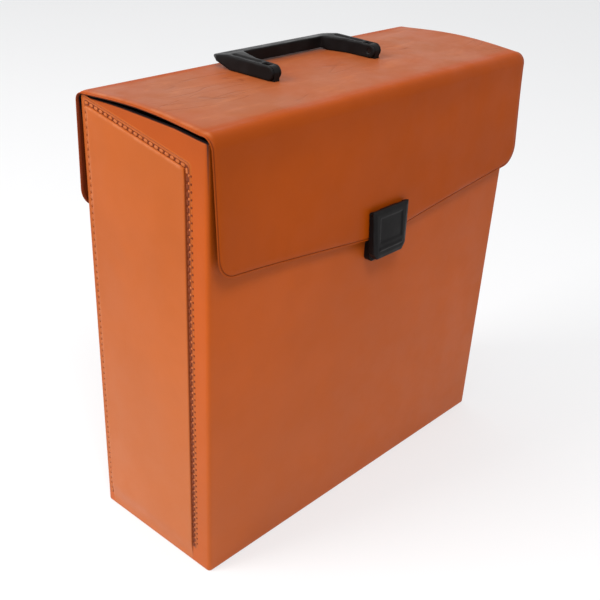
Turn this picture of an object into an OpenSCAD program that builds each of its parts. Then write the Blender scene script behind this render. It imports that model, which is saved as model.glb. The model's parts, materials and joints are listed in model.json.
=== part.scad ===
// Record case: a board box covered in vinyl, with a saddle lid that folds at the back and at the
// front, a swinging carrying handle on the lid and a pivoting snap latch on the front flap.
// Origin at the centre of the base, front toward -Y, up along +Z, sizes in millimetres.

/* [Box] */
// Outside width of the box, side to side
body_w = 335; // [325:1:345]
// Outside depth of the box, front to back
body_d = 120; // [105:1:150]
// Height of the covered wall at the back
back_h = 329; // [323:1:340]
// How much lower the covered wall is at the front
front_drop = 1.8; // [0:0.2:4]
// Radius of the covered upright corners
corner_r = 3.6; // [2.6:0.2:6]
// Thickness of the wall boards
wall_board_t = 2.6; // [2:0.2:4]
// Thickness of the base board
base_board_t = 3; // [2:0.2:5]
// Thickness of the vinyl cover
cover_t = 0.8; // [0.6:0.1:1.2]
// Thickness of the paper lining
lining_t = 0.5; // [0.3:0.1:0.8]
// How far the vinyl is turned down inside the mouth
turn_in = 14; // [8:1:25]

/* [End panels] */
// How far the raised end panel stands proud
panel_t = 1.3; // [0.8:0.1:2]
// Bevel round the edge of the raised panel
panel_bevel = 0.7; // [0.2:0.1:0.8]
// From the front of the box to the panel, at the foot
panel_front_low = 17.8; // [12:0.2:26]
// From the front of the box to the panel, at its shoulder
panel_front_high = 20.4; // [12:0.2:26]
// From the back of the box to the panel
panel_back = 7; // [5:0.5:14]
// From the wall's top edge down to the panel, at the front
panel_drop_front = 19; // [8:0.5:40]
// From the wall's top edge down to the panel, at the back
panel_drop_back = 4.4; // [3:0.2:20]
// Height of the panel's foot above the floor
panel_foot = 1.5; // [1:0.5:8]
// Width of the sunk band that carries the stitching
stitch_band_w = 3.6; // [2:0.2:5]
// Depth of the stitching band
stitch_band_t = 0.3; // [0.1:0.1:0.4]
// Height above the floor at which the stitching stops
stitch_foot = 12; // [4:1:30]

/* [Lid and flaps] */
// How far the lid overhangs each end of the box
overhang = 2.3; // [1:0.1:5]
// Air between the lid's lining and the back wall's top edge
lid_clear = 0.6; // [0.3:0.1:3]
// Thickness of the board in the lid and in the front flap
lid_board_t = 2; // [1.6:0.2:3]
// Thickness of the board in the rear flap
rear_board_t = 1.2; // [1:0.1:2]
// Thickness of the inner skin of the lid and flaps
skin_t = 0.4; // [0.3:0.1:0.6]
// Width of the welded rim round the lid and flaps
rim_w = 3; // [2:0.5:5]
// Bevel of the padded face inside the rim
pad_bevel = 1.1; // [0.4:0.1:1.2]
// Outer radius of the front fold
front_fold_r = 9; // [7:0.5:12]
// Outer radius of the rear fold
rear_fold_r = 7; // [6:0.5:10]
// Board-free vinyl on each side of a fold
fold_gap = 5; // [4:0.5:8]
// Air between the front flap and the box, at the fold
flap_air = 1.2; // [0.6:0.1:3]
// Angle at which the front flap stands off the box
flap_splay = 1.8; // [0.6:0.2:3]
// Air between the rear flap and the box, at the fold
rear_air = 0.3; // [0.3:0.1:1]
// Angle at which the rear flap stands off the box
rear_splay = 1.6; // [0:0.2:3]
// Length of the front flap at its sides, from the fold line
flap_side_len = 79.5; // [65:0.5:85]
// Length of the front flap at its middle, from the fold line
flap_mid_len = 97.5; // [94:0.5:98]
// Corner radius of the front flap
flap_corner_r = 16; // [8:1:24]
// Length of the rear flap, from the fold line
rear_len = 76; // [50:1:120]
// Corner radius of the rear flap
rear_corner_r = 16; // [8:1:24]

/* [Handle] */
// Distance from the middle of the lid to the handle's middle, sideways
handle_x = 0; // [-5:0.5:5]
// Distance between the middles of the two legs
leg_pitch = 108; // [90:1:130]
// Width of a leg
leg_w = 9; // [8.5:0.5:13]
// Height of a leg, which is the diameter of its round nose
leg_h = 10.2; // [10:0.2:13]
// Gap between the handle and the lid when it lies flat
handle_gap = 0.4; // [0.3:0.1:1]
// Distance from the pivot to the outer edge of the grip
handle_reach = 54.5; // [48:0.5:56]
// Width of the grip bar, front to back
grip_w = 14.5; // [12:0.5:16]
// Thickness of the grip at its outer edge
grip_edge_t = 2.4; // [1.6:0.2:4]
// How far the grip's corners stand out beyond the legs
corner_flare = 1.5; // [0:0.5:8]
// How far the legs thicken inward where they meet the grip
inner_gusset = 8; // [4:1:24]
// Width of the slot in each leg
slot_w = 5.6; // [5.2:0.1:6.2]
// Side clearance of a bracket in its slot
slot_clear = 0.2; // [0.1:0.05:0.3]
// Diameter of the handle pins
handle_pin_d = 3; // [2:0.2:4]

/* [Latch] */
// Width of the latch lever at its top
lever_w = 41; // [36:1:48]
// Height of the latch lever
lever_h = 37.5; // [36:0.5:38.5]
// Thickness of the latch lever
lever_t = 5.6; // [5.2:0.1:7]
// How much narrower the lever is on each side at its foot
lever_taper = 2; // [0:0.2:3]
// Distance from the fold line to the lever's top edge
latch_drop = 74; // [71:0.5:75]
// How much thicker the lever is at its foot than at its top
lever_lean = 1.2; // [0:0.1:2]
// Wall thickness of the lever
lever_wall = 1.6; // [1.4:0.1:1.8]
// Air between the lever and the flap
lever_air = 0.4; // [0.3:0.1:0.6]
// Diameter of the latch pin
latch_pin_d = 1.8; // [1.4:0.1:2]
// Depth of the keeper block on the box
keeper_d = 7.6; // [6:0.1:7.8]
// Width of the keeper block
keeper_w = 27; // [24:1:34]
// Distance from the fold line down to the keeper's foot
keeper_drop = 116.5; // [115.5:0.5:117]
// Height of the keeper block
keeper_h = 18; // [16:0.5:18.5]

/* [Fits] */
// Radial clearance of a pin in a bore that it turns in
run_clear = 0.05; // [0.02:0.01:0.1]
// Radial clearance of a pin or rivet in a hole that holds it
hold_clear = 0.01; // [0:0.01:0.03]

/* [Hidden] */
$fn = 64;

vinyl = "#b5561f";
vinyl_end = "#c4652f";
black_plastic = "#1d1c1e";
lining_black = "#262225";
chipboard = "#8b6f50";
steel = "#b4b6ba";

// Longer than any piece, for slabs that only cut
far = 2 * max(body_w, back_h);
// Overlap of shapes that join or cut each other
lap = 1;
front_h = back_h - front_drop;
half_w = body_w / 2;
half_d = body_d / 2;
board_in = cover_t + wall_board_t;
mouth_in = board_in + cover_t;
lining_in = board_in + lining_t;
floor_z = cover_t + base_board_t;
lid_t = cover_t + lid_board_t + skin_t;
rear_t = cover_t + rear_board_t + skin_t;
fold_t = cover_t + skin_t;
lid_under = back_h + lid_clear;
lid_top = lid_under + lid_t;
lid_w = body_w + 2 * overhang;
front_fold_y = -half_d - flap_air - lid_t + front_fold_r;
front_fold_z = lid_top - front_fold_r;
rear_fold_y = half_d + rear_air + rear_t - rear_fold_r;
rear_fold_z = lid_top - rear_fold_r;
lid_from = front_fold_y + fold_gap;
lid_to = rear_fold_y - fold_gap;

rivet_d = 3;
rivet_head_d = 6.4;
rivet_head_t = 0.9;
rivet_tail_d = 5;
rivet_tail_t = 0.5;
washer_d = 8;
washer_t = 0.6;
// The wall's holes for the rear rivets are this much wider than the rivets
rear_hole_gap = 0.4;
rear_rivet_drop = 22;
rear_rivet_margin = 47.5;
rear_rivet_z = rear_fold_z - rear_rivet_drop;
rear_rivet_x = [for (i = [0 : 3]) (half_w - rear_rivet_margin) * (2 * i / 3 - 1)];
keeper_foot = front_fold_z - keeper_drop;

// A profile drawn in the Y and Z directions, run along X between two planes
module along_x(from, to) {
    translate([from, 0, 0]) rotate([90, 0, 90]) linear_extrude(to - from) children();
}

// A rod along X
module rod(from, to, d) {
    translate([from, 0, 0]) rotate([0, 90, 0]) cylinder(h = to - from, d = d);
}

// A rod along Y, from its near end to its far end
module peg(from, to, d) {
    translate([0, from, 0]) rotate([-90, 0, 0]) cylinder(h = to - from, d = d);
}

// A domed rivet head that stands on the plane y = 0 and points to -Y
module rivet_head() {
    edge = rivet_head_t * 0.4;
    rotate([90, 0, 0]) rotate_extrude() polygon([
        [0, 0], [rivet_head_d / 2, 0], [rivet_head_d / 2, edge],
        [rivet_head_d * 0.36, rivet_head_t * 0.8], [rivet_head_d * 0.2, rivet_head_t], [0, rivet_head_t]
    ]);
}

// Plan of the box, moved in from its outside by an inset
module box_plan(inset) {
    w = body_w - 2 * inset;
    d = body_d - 2 * inset;
    r = corner_r - inset;
    if (r > 0.05) {
        square([w - 2 * r, d], center = true);
        square([w, d - 2 * r], center = true);
        for (x = [-1, 1], y = [-1, 1])
            translate([x * (w / 2 - r), y * (d / 2 - r)]) circle(r);
    } else {
        square([w, d], center = true);
    }
}

// Everything under the sloping top edge of the walls, less a drop
module under_top(drop) {
    slope = front_drop / body_d;
    along_x(-far, far) polygon([
        [-far, -lap], [far, -lap],
        [far, back_h - drop + slope * (far - half_d)],
        [-far, front_h - drop - slope * (far - half_d)]
    ]);
}

// A wall-high block of the box plan, cut off under the top edge
module box_block(inset, drop, from_z) {
    intersection() {
        translate([0, 0, from_z]) linear_extrude(far) box_plan(inset);
        under_top(drop);
    }
}

// A slab between two planes square to Y
module y_slab(from, to) {
    translate([-far, from, -lap]) cube([2 * far, to - from, 2 * far]);
}

// A slab between two planes square to X
module x_slab(from, to) {
    translate([from, -far, -lap]) cube([to - from, 2 * far, 2 * far]);
}

// Outline of the raised end panel in Y and Z, grown by g
function panel_points(g, foot) = [
    [-half_d + panel_front_low - g, foot],
    [-half_d + panel_front_high - g, front_h - panel_drop_front + g],
    [half_d - panel_back + g, back_h - panel_drop_back + g],
    [half_d - panel_back + g, foot]
];

// Holes through the keeper's tongue and the front wall for the keeper's rivets
keeper_rivet_rise = 9;
keeper_rivet_margin = 7;
keeper_rivet_z = keeper_foot + keeper_h + keeper_rivet_rise;
keeper_rivet_x = [-keeper_w / 2 + keeper_rivet_margin, keeper_w / 2 - keeper_rivet_margin];
module keeper_rivet_holes(d) {
    for (x = keeper_rivet_x) translate([x, 0, keeper_rivet_z])
        peg(-half_d - keeper_d, -half_d + mouth_in + lap, d);
}

// Holes through the rear flap and the back wall
module rear_rivet_holes(d) {
    for (x = rear_rivet_x) translate([x, 0, rear_rivet_z])
        peg(half_d - mouth_in - lap, rear_face_y + lap, d);
}

module base_cover() color(vinyl) linear_extrude(cover_t) box_plan(0);

module base_board() color(chipboard)
    translate([0, 0, cover_t]) linear_extrude(base_board_t) box_plan(board_in);

module front_board() color(chipboard) difference() {
    intersection() {
        box_block(cover_t, cover_t, cover_t);
        y_slab(-half_d, -half_d + board_in);
    }
    keeper_rivet_holes(rivet_d + 2 * hold_clear);
}

module back_board() color(chipboard) difference() {
    intersection() {
        box_block(cover_t, cover_t, cover_t);
        y_slab(half_d - board_in, half_d);
    }
    rear_rivet_holes(rivet_d + rear_hole_gap);
}

module end_board(side) intersection() {
    box_block(cover_t, cover_t, cover_t);
    x_slab(side > 0 ? half_w - board_in : -half_w, side > 0 ? half_w : -half_w + board_in);
    y_slab(-half_d + board_in, half_d - board_in);
}
module left_end_board() color(chipboard) end_board(-1);
module right_end_board() color(chipboard) end_board(1);

// The vinyl round the four walls, turned over the top edge and down inside
module wall_cover() color(vinyl) difference() {
    box_block(0, 0, cover_t);
    linear_extrude(far) box_plan(mouth_in);
    difference() {
        box_block(cover_t, cover_t, -lap);
        linear_extrude(far) box_plan(board_in);
    }
    box_block(board_in, turn_in, -lap);
    for (side = [-1, 1]) stitch_band(side);
    keeper_rivet_holes(rivet_d + 2 * hold_clear);
    rear_rivet_holes(rivet_d + rear_hole_gap);
}

// The sunk band round the raised panel, in which the stitching lies
stitch_gap = 0.6;
module stitch_band(side) {
    depth_from = side > 0 ? half_w - stitch_band_t : -half_w - lap;
    along_x(depth_from, depth_from + stitch_band_t + lap) difference() {
        polygon(panel_points(stitch_band_w + stitch_gap, stitch_foot));
        polygon(panel_points(stitch_gap, stitch_foot));
    }
}

module end_panel(side) mirror([side > 0 ? 0 : 1, 0, 0]) hull() {
    along_x(half_w, half_w + panel_t - panel_bevel) polygon(panel_points(0, panel_foot));
    along_x(half_w, half_w + panel_t) polygon(panel_points(-panel_bevel, panel_foot + panel_bevel));
}
module left_end_panel() color(vinyl_end) end_panel(-1);
module right_end_panel() color(vinyl_end) end_panel(1);

module base_lining() color(lining_black)
    translate([0, 0, floor_z]) linear_extrude(lining_t) box_plan(board_in);

// One lining sheet, between the floor lining and the turned-in vinyl
module wall_lining() intersection() {
    difference() {
        box_block(board_in, turn_in, floor_z + lining_t);
        linear_extrude(far) box_plan(lining_in);
    }
    children();
}
module front_lining() color(lining_black) difference() {
    wall_lining() y_slab(-half_d, -half_d + lining_in);
    keeper_rivet_holes(rivet_d + 2 * hold_clear);
}
module back_lining() color(lining_black) difference() {
    wall_lining() y_slab(half_d - lining_in, half_d);
    rear_rivet_holes(rivet_d + rear_hole_gap);
}
module left_lining() color(lining_black)
    wall_lining() intersection() {
        x_slab(-half_w, -half_w + lining_in);
        y_slab(-half_d + lining_in, half_d - lining_in);
    }
module right_lining() color(lining_black)
    wall_lining() intersection() {
        x_slab(half_w - lining_in, half_w);
        y_slab(-half_d + lining_in, half_d - lining_in);
    }

// The frame of the rear flap: X along the fold, -Z down the flap
module at_rear_fold() {
    translate([0, rear_fold_y, rear_fold_z]) rotate([rear_splay, 0, 0]) children();
}

// A plate of the rear flap between two depths under its outer face
module rear_plate(from, to) {
    translate([0, rear_fold_r - from, 0]) rotate([90, 0, 0]) linear_extrude(to - from) children();
}

module rear_outline(inset) {
    half = lid_w / 2 - inset;
    r = rear_corner_r - inset;
    low = -rear_len + inset;
    translate([-half, low + r]) square([2 * half, -low - r - fold_gap]);
    translate([-half + r, low]) square([2 * (half - r), r + lap]);
    for (x = [-1, 1]) translate([x * (half - r), low + r]) circle(r);
}

module rear_flap_board() color(chipboard) difference() {
    at_rear_fold() rear_plate(cover_t, cover_t + rear_board_t) rear_outline(rim_w + cover_t);
    rear_rivet_holes(rivet_d + 2 * hold_clear);
}

module rear_flap_cover() color(vinyl) difference() {
    at_rear_fold() difference() {
        union() {
            rear_plate(rear_board_t, rear_board_t + cover_t) rear_outline(0);
            rear_plate(0, rear_board_t + cover_t) rear_outline(rim_w);
        }
        rear_plate(cover_t, rear_t) rear_outline(rim_w + cover_t);
    }
    rear_rivet_holes(rivet_d + 2 * hold_clear);
}

module rear_flap_skin() color(lining_black) difference() {
    at_rear_fold() rear_plate(cover_t + rear_board_t, rear_t) rear_outline(0);
    rear_rivet_holes(rivet_d + 2 * hold_clear);
}

// Four rivets through the rear flap and the back wall, each with a washer inside the box
rear_face_y = rear_fold_y + rear_fold_r / cos(rear_splay)
    + (rear_fold_z - rear_rivet_z) * tan(rear_splay);
module rear_flap_rivets() color(steel) for (x = rear_rivet_x) translate([x, 0, rear_rivet_z]) {
    wall = half_d - lining_in;
    peg(wall - washer_t - rivet_tail_t, rear_face_y, rivet_d);
    peg(wall - washer_t - rivet_tail_t, wall - washer_t, rivet_tail_d);
    peg(wall - washer_t, wall, washer_d);
    translate([0, rear_face_y, 0]) rotate([rear_splay, 0, 0]) rotate([0, 0, 180]) rivet_head();
}

// Everything under the outer face of a fold, with the fold line at the origin and the lid toward -X
module fold_body(r, splay) {
    circle(r);
    translate([-fold_gap, 0]) square([fold_gap, r]);
    rotate(splay) translate([0, -fold_gap]) square([r, fold_gap]);
}

// Section of the board-free vinyl at a fold
module fold_section(r, splay) {
    intersection() {
        difference() {
            fold_body(r, splay);
            fold_body(r - fold_t, splay);
        }
        union() {
            polygon([[-fold_gap, 0], [0, 0], [2 * r, 2 * r * tan(splay)], [2 * r, 2 * r], [-fold_gap, 2 * r]]);
            rotate(splay) translate([0, -fold_gap]) square([2 * r, fold_gap + lap]);
        }
    }
}

module back_fold_strip() color(vinyl) along_x(-lid_w / 2, lid_w / 2)
    translate([rear_fold_y, rear_fold_z]) fold_section(rear_fold_r, rear_splay);

// The keeper: a block with a catch recess, and a thin tongue that goes up behind the flap
keeper_tongue_t = 1.8;
keeper_tongue_h = 16;
keeper_corner_r = 5;
keeper_nose = 1.2;
keeper_front_t = 2;
catch_w = 16;
catch_t = 2.6;
catch_h = 10;
catch_foot = 3.5;
keeper_edge = 2;
module keeper_front() {
    half = keeper_w / 2;
    r = keeper_corner_r;
    translate([-half, r]) square([keeper_w, keeper_h - r]);
    translate([-half + r, 0]) square([keeper_w - 2 * r, r + lap]);
    for (x = [-1, 1]) translate([x * (half - r), r]) circle(r);
}
module keeper_side() {
    nose = keeper_nose;
    polygon([
        [0, 0], [-keeper_d + 2 * nose, 0], [-keeper_d, 2 * nose], [-keeper_d, keeper_h - nose],
        [-keeper_d + nose, keeper_h], [-keeper_tongue_t, keeper_h],
        [-keeper_tongue_t, keeper_h + keeper_tongue_h], [0, keeper_h + keeper_tongue_h]
    ]);
}
module keeper_plan() {
    half = keeper_w / 2;
    polygon([
        [-half, 0], [half, 0], [half, -keeper_d + keeper_edge], [half - keeper_edge, -keeper_d],
        [-half + keeper_edge, -keeper_d], [-half, -keeper_d + keeper_edge]
    ]);
}
module keeper() color(black_plastic) difference() {
    translate([0, -half_d, keeper_foot]) intersection() {
        along_x(-far, far) keeper_side();
        rotate([90, 0, 0]) linear_extrude(far) union() {
            keeper_front();
            translate([-keeper_w / 2, keeper_h - lap]) square([keeper_w, keeper_tongue_h + lap]);
        }
        linear_extrude(far) keeper_plan();
    }
    translate([-catch_w / 2, -half_d - keeper_d - lap, keeper_foot + catch_foot])
        cube([catch_w, catch_t + lap, catch_h]);
    keeper_rivet_holes(rivet_d + 2 * hold_clear);
}

module keeper_rivets() color(steel) for (x = keeper_rivet_x)
    translate([x, -half_d - keeper_tongue_t, keeper_rivet_z]) {
        tail = keeper_tongue_t + lining_in + washer_t;
        peg(0, tail + rivet_tail_t, rivet_d);
        rivet_head();
        peg(tail, tail + rivet_tail_t, rivet_tail_d);
    }

module keeper_washers() color(steel) for (x = keeper_rivet_x)
    translate([x, -half_d + lining_in, keeper_rivet_z]) difference() {
        peg(0, washer_t, washer_d);
        peg(-lap, washer_t + lap, rivet_d + 2 * hold_clear);
    }

// Lid plates: a rectangle between the two folds
module lid_plate(from, to, inset) {
    translate([-lid_w / 2 + inset, lid_from, lid_top - to])
        cube([lid_w - 2 * inset, lid_to - lid_from, to - from]);
}

// Places on the two brackets, where the rivets go
bracket_rivet_y = [9.5, 14.5];
bracket_rivet_d = 2.2;
bracket_head_d = 4.2;
bracket_head_t = 0.7;
bracket_tail_t = 0.6;
module bracket_rivet_holes(d) {
    for (side = [-1, 1], y = bracket_rivet_y)
        translate([handle_x + side * leg_pitch / 2, y, lid_under - bar_t - lap])
            cylinder(h = lid_t + bar_t + 2 * lap, d = d);
}

module lid_board() color(chipboard) difference() {
    lid_plate(cover_t, cover_t + lid_board_t, rim_w + cover_t);
    bracket_rivet_holes(bracket_rivet_d + 2 * hold_clear);
}

module lid_cover() color(vinyl) difference() {
    union() {
        lid_plate(lid_board_t, lid_board_t + cover_t, 0);
        along_y(lid_from, lid_to) polygon([
            [-lid_w / 2 + rim_w, lid_under + skin_t], [lid_w / 2 - rim_w, lid_under + skin_t],
            [lid_w / 2 - rim_w, lid_top - pad_bevel], [lid_w / 2 - rim_w - pad_bevel, lid_top],
            [-lid_w / 2 + rim_w + pad_bevel, lid_top], [-lid_w / 2 + rim_w, lid_top - pad_bevel]
        ]);
    }
    lid_plate(cover_t, lid_t, rim_w + cover_t);
    bracket_rivet_holes(bracket_rivet_d + 2 * hold_clear);
}

// A profile drawn in the X and Z directions, run along Y between two planes
module along_y(from, to) {
    translate([0, to, 0]) rotate([90, 0, 0]) linear_extrude(to - from) children();
}

module lid_skin() color(lining_black) difference() {
    lid_plate(cover_t + lid_board_t, lid_t, 0);
    bracket_rivet_holes(bracket_rivet_d + 2 * hold_clear);
}

module front_fold_strip() color(vinyl) along_x(-lid_w / 2, lid_w / 2)
    translate([front_fold_y, front_fold_z]) mirror([1, 0]) fold_section(front_fold_r, flap_splay);

// Handle pivot, above the lid's top face
leg_r = leg_h / 2;
pivot_z = lid_top + handle_gap + leg_r;
tongue_t = 1.4;
tongue_to = 17;
eye_r = leg_r - 0.3;
shoulder = 7.5;
tongue_roof = 2.8;
tongue_end_gap = 1;
bracket_w = slot_w - 2 * slot_clear;

// One bracket: a riveted tongue with an upright eye for the handle pin
module bracket(x) translate([x, 0, 0]) difference() {
    along_x(-bracket_w / 2, bracket_w / 2) {
        translate([0, pivot_z]) circle(eye_r);
        translate([-eye_r, lid_top]) square([2 * eye_r, pivot_z - lid_top]);
        translate([-eye_r, lid_top]) square([tongue_to + eye_r, tongue_t]);
    }
    translate([0, 0, pivot_z]) rod(-leg_w, leg_w, handle_pin_d + 2 * run_clear);
    for (y = bracket_rivet_y) translate([0, y, lid_top - lap])
        cylinder(h = tongue_t + 2 * lap, d = bracket_rivet_d + 2 * hold_clear);
}
module handle_bracket_left() color(black_plastic) bracket(handle_x - leg_pitch / 2);
module handle_bracket_right() color(black_plastic) bracket(handle_x + leg_pitch / 2);

// Steel bar under the lid that spreads the pull of the handle
bar_t = 1;
bar_margin = 8;
bar_side = 5;
module handle_bar() color(steel) difference() {
    translate([handle_x - leg_pitch / 2 - bar_margin, bracket_rivet_y[0] - bar_side, lid_under - bar_t])
        cube([leg_pitch + 2 * bar_margin, bracket_rivet_y[1] - bracket_rivet_y[0] + 2 * bar_side, bar_t]);
    bracket_rivet_holes(bracket_rivet_d + 2 * hold_clear);
}

module handle_rivets() color(steel) for (side = [-1, 1], y = bracket_rivet_y)
    translate([handle_x + side * leg_pitch / 2, y, 0]) {
        tail = lid_under - bar_t - bracket_tail_t;
        translate([0, 0, tail]) cylinder(h = lid_top + tongue_t - tail, d = bracket_rivet_d);
        translate([0, 0, lid_top + tongue_t]) cylinder(h = bracket_head_t, d = bracket_head_d);
        translate([0, 0, tail]) cylinder(h = bracket_tail_t, d = bracket_head_d);
    }

// Side view of the handle in Y and Z, with the pivot at y = 0: round nose, level legs, wedge grip
grip_from = handle_reach - grip_w;
wedge_lead = 4;
wedge_rise = 1.4;
grip_edge_bevel = 1;
module handle_side() {
    low = pivot_z - leg_r;
    high = pivot_z + leg_r;
    mid = pivot_z + wedge_rise;
    back = handle_reach - grip_edge_bevel;
    translate([0, pivot_z]) circle(leg_r);
    polygon([
        [0, low], [grip_from - wedge_lead, low], [back, mid - grip_edge_t / 2],
        [handle_reach, mid - grip_edge_t / 4], [handle_reach, mid + grip_edge_t / 4],
        [back, mid + grip_edge_t / 2], [grip_from - grip_edge_bevel, high], [0, high]
    ]);
}

// Plan of the handle: two legs that flare into the grip bar
corner_cut = [3, 6];
gusset_from = 0.5;
leg_draft = 1;
module handle_plan() {
    out = leg_pitch / 2 + leg_w / 2;
    in = leg_pitch / 2 - leg_w / 2;
    tip = out + corner_flare;
    bend = grip_from * gusset_from;
    difference() {
        polygon([
            [-out, -leg_r - lap], [out, -leg_r - lap], [tip, handle_reach - corner_cut[1]],
            [tip - corner_cut[0], handle_reach], [-tip + corner_cut[0], handle_reach],
            [-tip, handle_reach - corner_cut[1]]
        ]);
        polygon([
            [-in, -leg_r - 2 * lap], [in, -leg_r - 2 * lap], [in - leg_draft, bend],
            [in - inner_gusset, grip_from], [-in + inner_gusset, grip_from], [-in + leg_draft, bend]
        ]);
    }
}

// Blind bores for the pins, drilled from between the legs
pin_wall = 1;
pin_end_gap = 0.3;
module handle_pin_span(side, d) {
    from = leg_pitch / 2 - leg_w / 2 - lap;
    to = leg_pitch / 2 + leg_w / 2 - pin_wall;
    translate([0, 0, pivot_z]) mirror([side > 0 ? 0 : 1, 0, 0]) rod(from, to, d);
}

module handle() color(black_plastic) translate([handle_x, 0, 0]) difference() {
    intersection() {
        along_x(-far, far) handle_side();
        translate([0, 0, lid_top]) linear_extrude(handle_gap + leg_h + lap) handle_plan();
    }
    for (side = [-1, 1]) {
        translate([side * leg_pitch / 2, 0, 0]) {
            translate([-slot_w / 2, -leg_r - lap, lid_top])
                cube([slot_w, leg_r + lap + shoulder, handle_gap + leg_h + lap]);
            translate([-slot_w / 2, 0, lid_top])
                cube([slot_w, tongue_to + tongue_end_gap, handle_gap + tongue_roof]);
            leg_channel();
        }
        handle_pin_span(side, handle_pin_d + 2 * hold_clear);
    }
}

// The sunk channel along the top of a leg
channel_w = 4;
channel_t = 1.2;
channel_margin = 4.5;
module leg_channel() {
    from = shoulder + channel_margin;
    to = grip_from - channel_margin;
    translate([0, 0, pivot_z + leg_r - channel_t]) linear_extrude(channel_t + lap) {
        translate([-channel_w / 2, from]) square([channel_w, to - from]);
        translate([0, from]) circle(d = channel_w);
        translate([0, to]) circle(d = channel_w);
    }
}

module handle_pin(side) translate([handle_x, 0, pivot_z]) mirror([side > 0 ? 0 : 1, 0, 0])
    rod(leg_pitch / 2 - leg_w / 2 + pin_end_gap, leg_pitch / 2 + leg_w / 2 - pin_wall, handle_pin_d);
module handle_pin_left() color(steel) handle_pin(-1);
module handle_pin_right() color(steel) handle_pin(1);

// The frame of the front flap: X along the fold, -Z down the flap
module at_front_fold() {
    translate([0, front_fold_y, front_fold_z]) rotate([-flap_splay, 0, 0]) children();
}

// A plate of the front flap between two depths under its outer face
module flap_plate(from, to) {
    translate([0, -front_fold_r + to, 0]) rotate([90, 0, 0]) linear_extrude(to - from) children();
}

// The flap's outline: square at the fold, rounded corners and a shallow point at the latch
flap_tip_r = 20;
module flap_outline(inset) {
    half = lid_w / 2 - inset;
    r = flap_corner_r - inset;
    hull() {
        translate([-half, -fold_gap - lap]) square([2 * half, lap]);
        for (x = [-1, 1]) translate([x * (half - r), -flap_side_len + inset + r]) circle(r, $fn = 48);
        translate([0, -flap_mid_len + inset + flap_tip_r]) circle(flap_tip_r, $fn = 48);
    }
}

latch_rivet_x = [-9, 9];
latch_rivet_z = -latch_drop - 12;
module latch_rivet_holes(d) {
    for (x = latch_rivet_x) at_front_fold() translate([x, 0, latch_rivet_z])
        peg(-front_fold_r - base_t - lap, -front_fold_r + lid_t + lap, d);
}

module flap_board() color(chipboard) difference() {
    at_front_fold() flap_plate(cover_t, cover_t + lid_board_t) flap_outline(rim_w + cover_t);
    latch_rivet_holes(rivet_d + 2 * hold_clear);
}

module flap_cover() color(vinyl) difference() {
    at_front_fold() difference() {
        union() {
            flap_plate(lid_board_t, lid_board_t + cover_t) flap_outline(0);
            hull() {
                flap_plate(pad_bevel, lid_board_t + cover_t) flap_outline(rim_w);
                flap_plate(0, pad_bevel) flap_outline(rim_w + pad_bevel);
            }
        }
        flap_plate(cover_t, lid_t) flap_outline(rim_w + cover_t);
    }
    latch_rivet_holes(rivet_d + 2 * hold_clear);
}

module flap_skin() color(lining_black) difference() {
    at_front_fold() flap_plate(cover_t + lid_board_t, lid_t) flap_outline(0);
    latch_rivet_holes(rivet_d + 2 * hold_clear);
}

// Latch, in the flap's frame, with u measured outward from the flap's face
latch_pin_u = 2.4;
latch_pin_z = -latch_drop - 2.8;
knuckle_r = 1.8;
knuckle_clear = 0.2;
knuckle_from = 9;
knuckle_to = 16.5;
heel_clear = 0.2;
heel_r = latch_pin_u - heel_clear;
base_t = 1.5;
base_h = 17.5;
base_top = latch_pin_z - heel_r - 2 * heel_clear;

// A side profile drawn with u and the flap's Z, run along X
module latch_side(from, to) {
    at_front_fold() along_x(from, to) translate([-front_fold_r, 0]) mirror([1, 0]) children();
}

// The base: a riveted plate with two knuckles for the pin
module latch_base() color(black_plastic) difference() {
    union() {
        latch_side(-knuckle_to, knuckle_to)
            translate([0, latch_pin_z - base_h]) square([base_t, base_top - latch_pin_z + base_h]);
        for (side = [-1, 1]) latch_side(min(side * knuckle_from, side * knuckle_to),
                max(side * knuckle_from, side * knuckle_to)) {
            translate([latch_pin_u, latch_pin_z]) circle(knuckle_r);
            translate([0, base_top]) square([latch_pin_u, latch_pin_z - base_top]);
        }
    }
    latch_pin_hole(latch_pin_d + 2 * hold_clear);
    latch_rivet_holes(rivet_d + 2 * hold_clear);
}

module latch_pin_hole(d) {
    at_front_fold() translate([0, -front_fold_r - latch_pin_u, latch_pin_z]) rod(-far, far, d);
}

module latch_rivets() color(steel) for (x = latch_rivet_x) at_front_fold()
    translate([x, -front_fold_r - base_t, latch_rivet_z]) {
        tail = base_t + lid_t + washer_t;
        peg(0, tail + rivet_tail_t, rivet_d);
        rivet_head();
        peg(tail, tail + rivet_tail_t, rivet_tail_d);
    }

module latch_washers() color(steel) for (x = latch_rivet_x) at_front_fold()
    translate([x, -front_fold_r + lid_t, latch_rivet_z]) difference() {
        peg(0, washer_t, washer_d);
        peg(-lap, washer_t + lap, rivet_d + 2 * hold_clear);
    }

latch_pin_short = 0.4;
module latch_pin() color(steel) at_front_fold()
    translate([0, -front_fold_r - latch_pin_u, latch_pin_z])
        rod(-lever_w / 2 + latch_pin_short, lever_w / 2 - latch_pin_short, latch_pin_d);

// Front view of the lever: slightly narrower at the foot, with cut corners
lever_foot = -latch_drop - lever_h;
lever_cut = [4, 5];
module lever_front(inset) {
    top = lever_w / 2 - inset;
    low = lever_w / 2 - lever_taper - inset;
    foot = low - lever_cut[0];
    polygon([
        [-top, -latch_drop - inset], [top, -latch_drop - inset], [low, lever_foot + lever_cut[1]],
        [foot, lever_foot + inset], [-foot, lever_foot + inset], [-low, lever_foot + lever_cut[1]]
    ]);
}

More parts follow.
